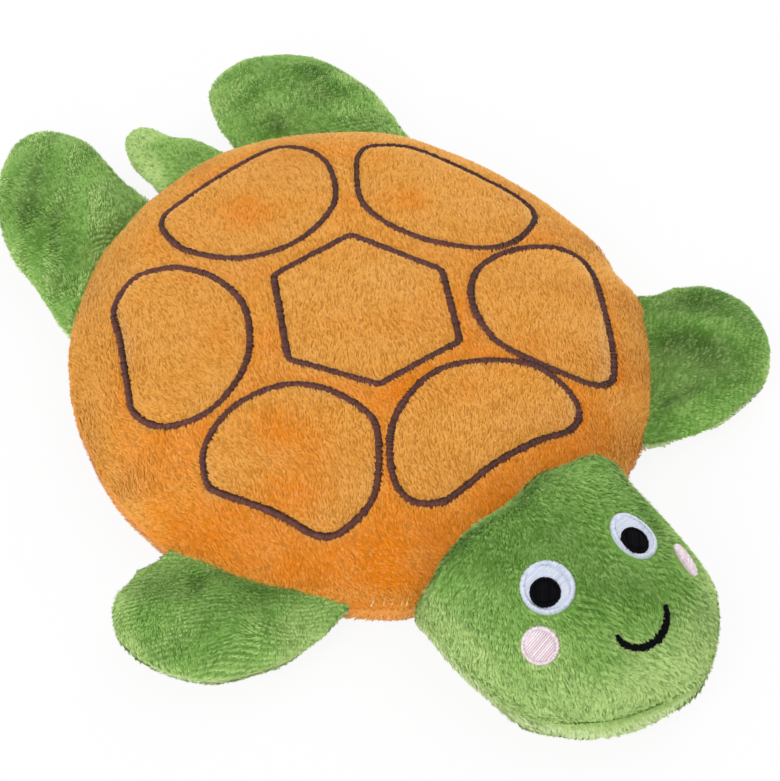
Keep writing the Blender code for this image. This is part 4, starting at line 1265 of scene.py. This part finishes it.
    pieces = green_cover("head", (top, bottom), (tone, tone_under), (21, 22), (1.5, 1.6), HEAD_STRANDS,
                         nap=nap, keep=keep, grow=grow, streak=HEAD_NAP)
    for name in ("left", "right"):
        for part, places in PATCH_PLACES.items():
            pieces.append(stitched_patch(name, part, patch(*places[name])))
    stitches, ups = satin(tree, mouth, False, mouth_half, SMILE_PITCH, LINE_LIFT, 107, slant=0.15, jag=0.25)
    piece = tubes("mouth_thread", stitches, ups, SMILE_THREAD, "black_thread", 8)
    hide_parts("mouth")
    pieces.append(piece)
    for piece in pieces:
        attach(piece, "head")


def blade(side, edge, length, rise, heading, shares, middle_share, down, wider):
    """Outline, swelling and hinge of a flipper or the tail."""
    def at_rim(angle, clearance=ROOT_CLEARANCE):
        point = rim(angle, clearance)
        return np.array((side * point[0], point[1]))

    start, end = at_rim(edge[0]), at_rim(edge[1])
    middle = (start + end) / 2
    half_root = np.linalg.norm(end - start) / 2
    across = unit(end - start)
    outward = square_to(np.array((middle[0] / HALF_WIDTH ** 2, middle[1] / HALF_LENGTH ** 2)), across)
    turn = math.radians(-side * heading)
    spin = np.array(((math.cos(turn), -math.sin(turn)), (math.sin(turn), math.cos(turn))))
    ahead, aside = spin @ outward, spin @ across
    onward = math.copysign(1.0, edge[1] - edge[0])
    first, last = edge[0] - onward * wider[0], edge[1] + onward * wider[1]
    arc = [at_rim(first)] + [middle + ahead * (s * length) + aside * (t * half_root) for s, t in shares]
    arc += [at_rim(last)]
    tip = even_points(spline(arc, False), BLADE_CORNERS + 1, False)
    root = np.array([at_rim(last + (first - last) * k / ROOT_CORNERS, ROOT_REACH)
                     for k in range(ROOT_CORNERS + 1)])
    outline = np.vstack([tip, root])
    order = np.arange(len(outline))
    from_root = np.where(order <= BLADE_CORNERS, np.minimum(order, BLADE_CORNERS - order), 0)
    place = from_root / (BLADE_CORNERS / 18)
    swelling = smoothstep(0, 1, np.clip((place - 0.6) / 3.6, 0, 1))
    root_share = (ROOT_SHARE[0], 1.5 if edge[0] < 0 else ROOT_SHARE[1])
    up_shares = np.array(root_share) * (1 - swelling[:, None]) + np.array(BLADE_SHARE) * swelling[:, None]
    wall = 0.1 + 2.6 * (1 - smoothstep(0.2, 4.0, place))
    if not counterclockwise(outline):
        outline, up_shares, wall = outline[::-1], up_shares[::-1], wall[::-1]
    centre = middle + ahead * (middle_share[0] * length) + aside * (middle_share[1] * half_root)
    bulge = max((at_rim(edge[0] + (edge[1] - edge[0]) * k / 12) - middle) @ outward for k in range(13))
    hinge = middle + outward * bulge
    points, faces = pillow(outline, centre, rise, down, up_shares, up_shares, wall, UNDER_FLOOR_GAP, 16)
    return points, faces, hinge, outward, ahead


# How much deeper a limb's green is as painted shade (below zero, painted light), and how far past its hinge's
# ends its root reaches round the rim.
LIMB_SHADE = {"front_left_flipper": 1.0, "front_right_flipper": -0.05, "rear_left_flipper": 0.30,
          "rear_right_flipper": 0.25, "tail": -0.15}
WIDER = {"front_left_flipper": (0.6, 1.3), "front_right_flipper": (1.5, 1.5), "rear_left_flipper": (2.2, 0.2),
         "rear_right_flipper": (0.0, 0.0), "tail": (0.0, 0.0)}
# Soft hollows (or, below zero, swellings) of the cloth: the pixel, the turn, the reach along and across, and
# the depth.
DENTS = {
    "head": ((560, 640, 60, 9, 7, 0.5), (600, 560, 30, 8, 6, 0.5), (659, 515, 60, 13, 7, 3.6),
             (430, 640, 40, 10, 8, 2.2), (700, 660, 90, 18, 10, -1.8), (580, 472, 20, 18, 8, -1.9),
             (690, 556, -88, 9, 2.2, 1.8), (646, 518, -88, 8, 2.0, 1.2)),
    "front_right_flipper": (
        (199, 579, 52, 4, 2.4, 2.0), (258, 601, -38, 7, 4, 1.1), (165, 640, 60, 12, 7, -0.6)),
    "front_left_flipper": (
        (683, 306, -38, 9, 3, 1.1), (692, 322, -38, 12, 2.6, -0.8), (680, 397, -2, 8, 1.9, 2.8),
        (676, 407, -2, 8, 2.4, -1.0), (707, 369, 20, 5, 3, 0.8)),
    "rear_left_flipper": ((280, 128, -38, 4, 4, 0.9), (330, 105, 40, 9, 5, 0.7), (285, 85, 20, 12, 8, -0.5)),
    "rear_right_flipper": (
        (113, 243, 18, 12, 3.6, 1.9), (97, 233, 18, 10, 2.6, -0.6), (50, 205, 90, 12, 6, -0.5)),
    "tail": ((190, 160, 40, 4, 4, 0.7),),
}
# Painted shade (or, below zero, painted light) on the pile, in its hollows, creases and folds: the pixel, the
# reach and the depth.
SHADE_AND_LIGHT_SPOTS = {
    "shell": (
        (245, 215, 7, 0.7), (412, 205, 7, 0.6), (192, 275, 5, 0.45), (275, 432, 8, 0.55),
        (292, 495, 9, 0.65), (315, 445, 6, 0.4), (222, 335, 6, 0.4), (540, 345, 7, 0.4),
        (430, 290, 6, 0.25), (470, 410, 7, 0.3), (380, 163, 5, 0.4)),
    "head": (
        (560, 520, 7, 0.35), (500, 560, 6, 0.3), (610, 500, 5, 0.3), (455, 585, 6, -0.3), (470, 640, 7, -0.3),
        (690, 620, 6, -0.4), (700, 590, 5, -0.4), (600, 692, 6, -0.2), (585, 600, 6, 0.4),
        (640, 600, 5, 0.35), (600, 663, 6, 0.4), (648, 496, 3.5, -0.8), (660, 508, 3.5, -0.9),
        (670, 520, 3.5, -0.9), (681, 534, 3.5, -0.9), (693, 548, 3.5, -0.9), (702, 562, 3.5, -0.8),
        (708, 580, 4, -0.6), (640, 510, 1.4, 0.9), (646, 518, 1.4, 0.9), (652, 526, 1.3, 0.8),
        (657, 534, 1.2, 0.6)),
    "front_right_flipper": (
        (199, 579, 2.6, 1.9), (250, 597, 4.5, 0.6), (264, 603, 5.0, 0.7), (160, 648, 4.5, 0.5),
        (180, 657, 4.5, 0.5), (202, 664, 4.5, 0.4), (190, 622, 7.0, -0.35), (122, 600, 5.0, -0.4),
        (300, 630, 7.0, -0.35)),
    "front_left_flipper": (
        (665, 308, 5.0, 0.5), (690, 305, 5.0, 0.6), (712, 312, 4.0, 0.4), (655, 326, 3.0, -0.8),
        (677, 320, 3.2, -0.8), (700, 323, 3.2, -0.8), (722, 331, 3.5, -0.7), (742, 345, 4.0, -0.5),
        (680, 350, 6.0, 0.4), (705, 365, 5.0, 0.6), (664, 405, 1.9, 1.3), (674, 399, 1.9, 1.4),
        (685, 393, 1.9, 1.3), (696, 387, 1.8, 0.9), (678, 409, 3.0, -0.4),
        (765, 370, 5.0, -0.6), (748, 312, 5.0, -0.5), (735, 400, 5.0, -0.4)),
    "rear_left_flipper": (
        (222, 115, 5.0, 0.5), (280, 130, 3.0, 1.2), (305, 80, 7.0, 0.4), (320, 95, 6.0, 0.3),
        (235, 72, 7.0, -0.6), (382, 106, 5.0, -0.5), (345, 80, 5.0, -0.2)),
    "rear_right_flipper": (
        (40, 175, 7.0, 0.6), (35, 160, 5.0, 0.4), (30, 205, 7.0, 0.4), (114, 244, 2.8, 1.6),
        (125, 225, 2.6, 1.5), (135, 211, 2.2, 1.0), (104, 262, 2.8, 1.5), (97, 278, 2.6, 1.2),
        (97, 233, 3.5, -0.6), (108, 219, 3.0, -0.5), (88, 253, 3.2, -0.5), (90, 190, 8.0, -0.3)),
    "tail": ((190, 160, 3.5, 0.6), (180, 172, 5.0, 0.3), (208, 155, 4.0, 0.5), (150, 135, 5.0, -0.5),
             (158, 176, 4.0, -0.4), (130, 150, 3.0, -0.4)),
}
# The combed rows of each limb: across which level direction they repeat, and how strongly they show.
ROWS = {
    "front_right_flipper": (0.5, 0.87, 1.0), "front_left_flipper": (0.62, -0.78, 0.35),
    "rear_left_flipper": (0.34, 0.94, 1.2), "rear_right_flipper": (0.14, 0.99, 1.5), "tail": (0.7, 0.7, 0.5)}


def build_limb(index, name, side, edge, length, rise, heading, shares, middle_share):
    down = SEAM - UNDER_FLOOR_GAP if name != "tail" else 5.6
    points, faces, hinge, outward, ahead = blade(
        side, edge, length, rise, heading, shares, middle_share, down, WIDER[name])
    mesh = largest_island(stuffed(points, faces, voxel=1.6, inset=0.4, edge_inset=0.5))
    press_seam(mesh, 0.5, 0.9)
    dent(mesh, DENTS[name])
    top, bottom = split_at_seam(mesh, name)
    spots = found_spots(tree_of(mesh), SHADE_AND_LIGHT_SPOTS[name])

    row_x, row_y, row_strength = ROWS[name]
    reach = np.array((*ahead, 0.0)) * 0.8

    def rows(points):
        return row_strength * ribs(points, (row_x, row_y, 0.2), LIMB_ROW_PITCH, 300 + index)

    def keep(points, normals):
        return ~inside_shell(points, -0.8)

    def grow(points, normals):
        seam = np.abs(points[:, 2] - SEAM)
        size = (0.5 + 0.5 * smoothstep(0.2, 2.0, seam)) * (0.4 + 0.6 * smoothstep(-0.8, -0.3, normals[:, 2]))
        return size * (1 + 0.32 * rows(points))

    def tone(points, normals):
        """Painted shade at the root, in the spots and on the darker limbs; painted light low down and in the
        pale spots; deeper between the combed rows, paler at the tip.
        """
        near = (points[:, :2] - hinge) @ outward
        value = 0.18 + 0.20 * wander(points, 20.0, 30 + index)[:, 0] + spots_of(spots, points)
        # Painted shade at the root, next to the shell.
        value += 0.45 * (1 - smoothstep(-1, 9, near)) - 0.80 * rows(points + reach)
        value -= 0.45 * smoothstep(0.65, 0.97, (points[:, :2] - hinge) @ ahead / length)
        # Painted shade for the darker limbs, and painted light low down.
        value += LIMB_SHADE[name] - 1.3 * (1 - smoothstep(8.5, 16.5, points[:, 2]))
        return np.clip(value, -0.9, 2)

    def tone_under(points, normals):
        # Painted light: the under panel is paler all over.
        return 0.1 * wander(points, 20.0, 60 + index)[:, 0] - 0.9

    pieces = green_cover(name, (top, bottom), (tone, tone_under), (200 + index, 220 + index), (2.4, 2.0),
                         LIMB_STRANDS, nap=steady(*(ahead * 0.8 + outward * 0.2), -0.1), keep=keep, grow=grow,
                         streak=(-row_y, row_x, 0.0))
    for piece in pieces:
        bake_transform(piece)


def build_stage():
    floor = quick_mesh("floor", np.array(((-3, -3, 0), (3, -3, 0), (3, 3, 0), (-3, 3, 0))), [(0, 1, 2, 3)])
    material, tree, shader = new_look("floor_look")
    fill_inputs(tree, shader, {"Base Color": (0.86, 0.86, 0.86), "Roughness": 0.9})
    glow = add_node(tree, "Emission", {"Color": (1.0, 1.0, 1.0), "Strength": 1.0}).outputs[0]
    rays = add_node(tree, "LightPath", {}).outputs
    seen = rays["Is Camera Ray"]
    for ray in ("Is Glossy Ray", "Is Transmission Ray"):
        seen = add_node(tree, "Math", {0: seen, 1: rays[ray]}, operation="MAXIMUM").outputs[0]
    seen = add_node(tree, "Math", {0: seen, 1: FLOOR_GLOW}, operation="MULTIPLY").outputs[0]
    blend = add_node(tree, "MixShader", {0: seen, 1: shader.outputs[0], 2: glow}).outputs[0]
    fill_inputs(tree, tree.nodes["Material Output"], {"Surface": blend})
    floor.materials.append(material)
    stage = new_object("floor", floor)
    world = bpy.data.worlds.new("world")
    world.use_nodes = True
    background = world.node_tree.nodes["Background"]
    fill_inputs(world.node_tree, background, {"Color": (1.0, 1.0, 1.0), "Strength": WORLD_STRENGTH})
    bpy.context.scene.world = world
    for name, (place, size, power) in LAMPS.items():
        light = bpy.data.lights.new(name, "AREA")
        light.shape = "DISK"
        light.size = size
        light.energy = power
        lamp = new_object(name, light)
        lamp.location = place
        lamp.rotation_mode = "QUATERNION"
        lamp.rotation_quaternion = (Vector(LAMP_AIM) - Vector(place)).to_track_quat("-Z", "Y")
    bpy.context.scene.view_settings.view_transform = "Standard"


make_camera()
shell_tree = build_shell()
build_closing_stitches(shell_tree)
build_head()
for order, limb in enumerate(FLIPPERS):
    build_limb(order, *limb)
build_stage()

bpy.context.view_layer.update()
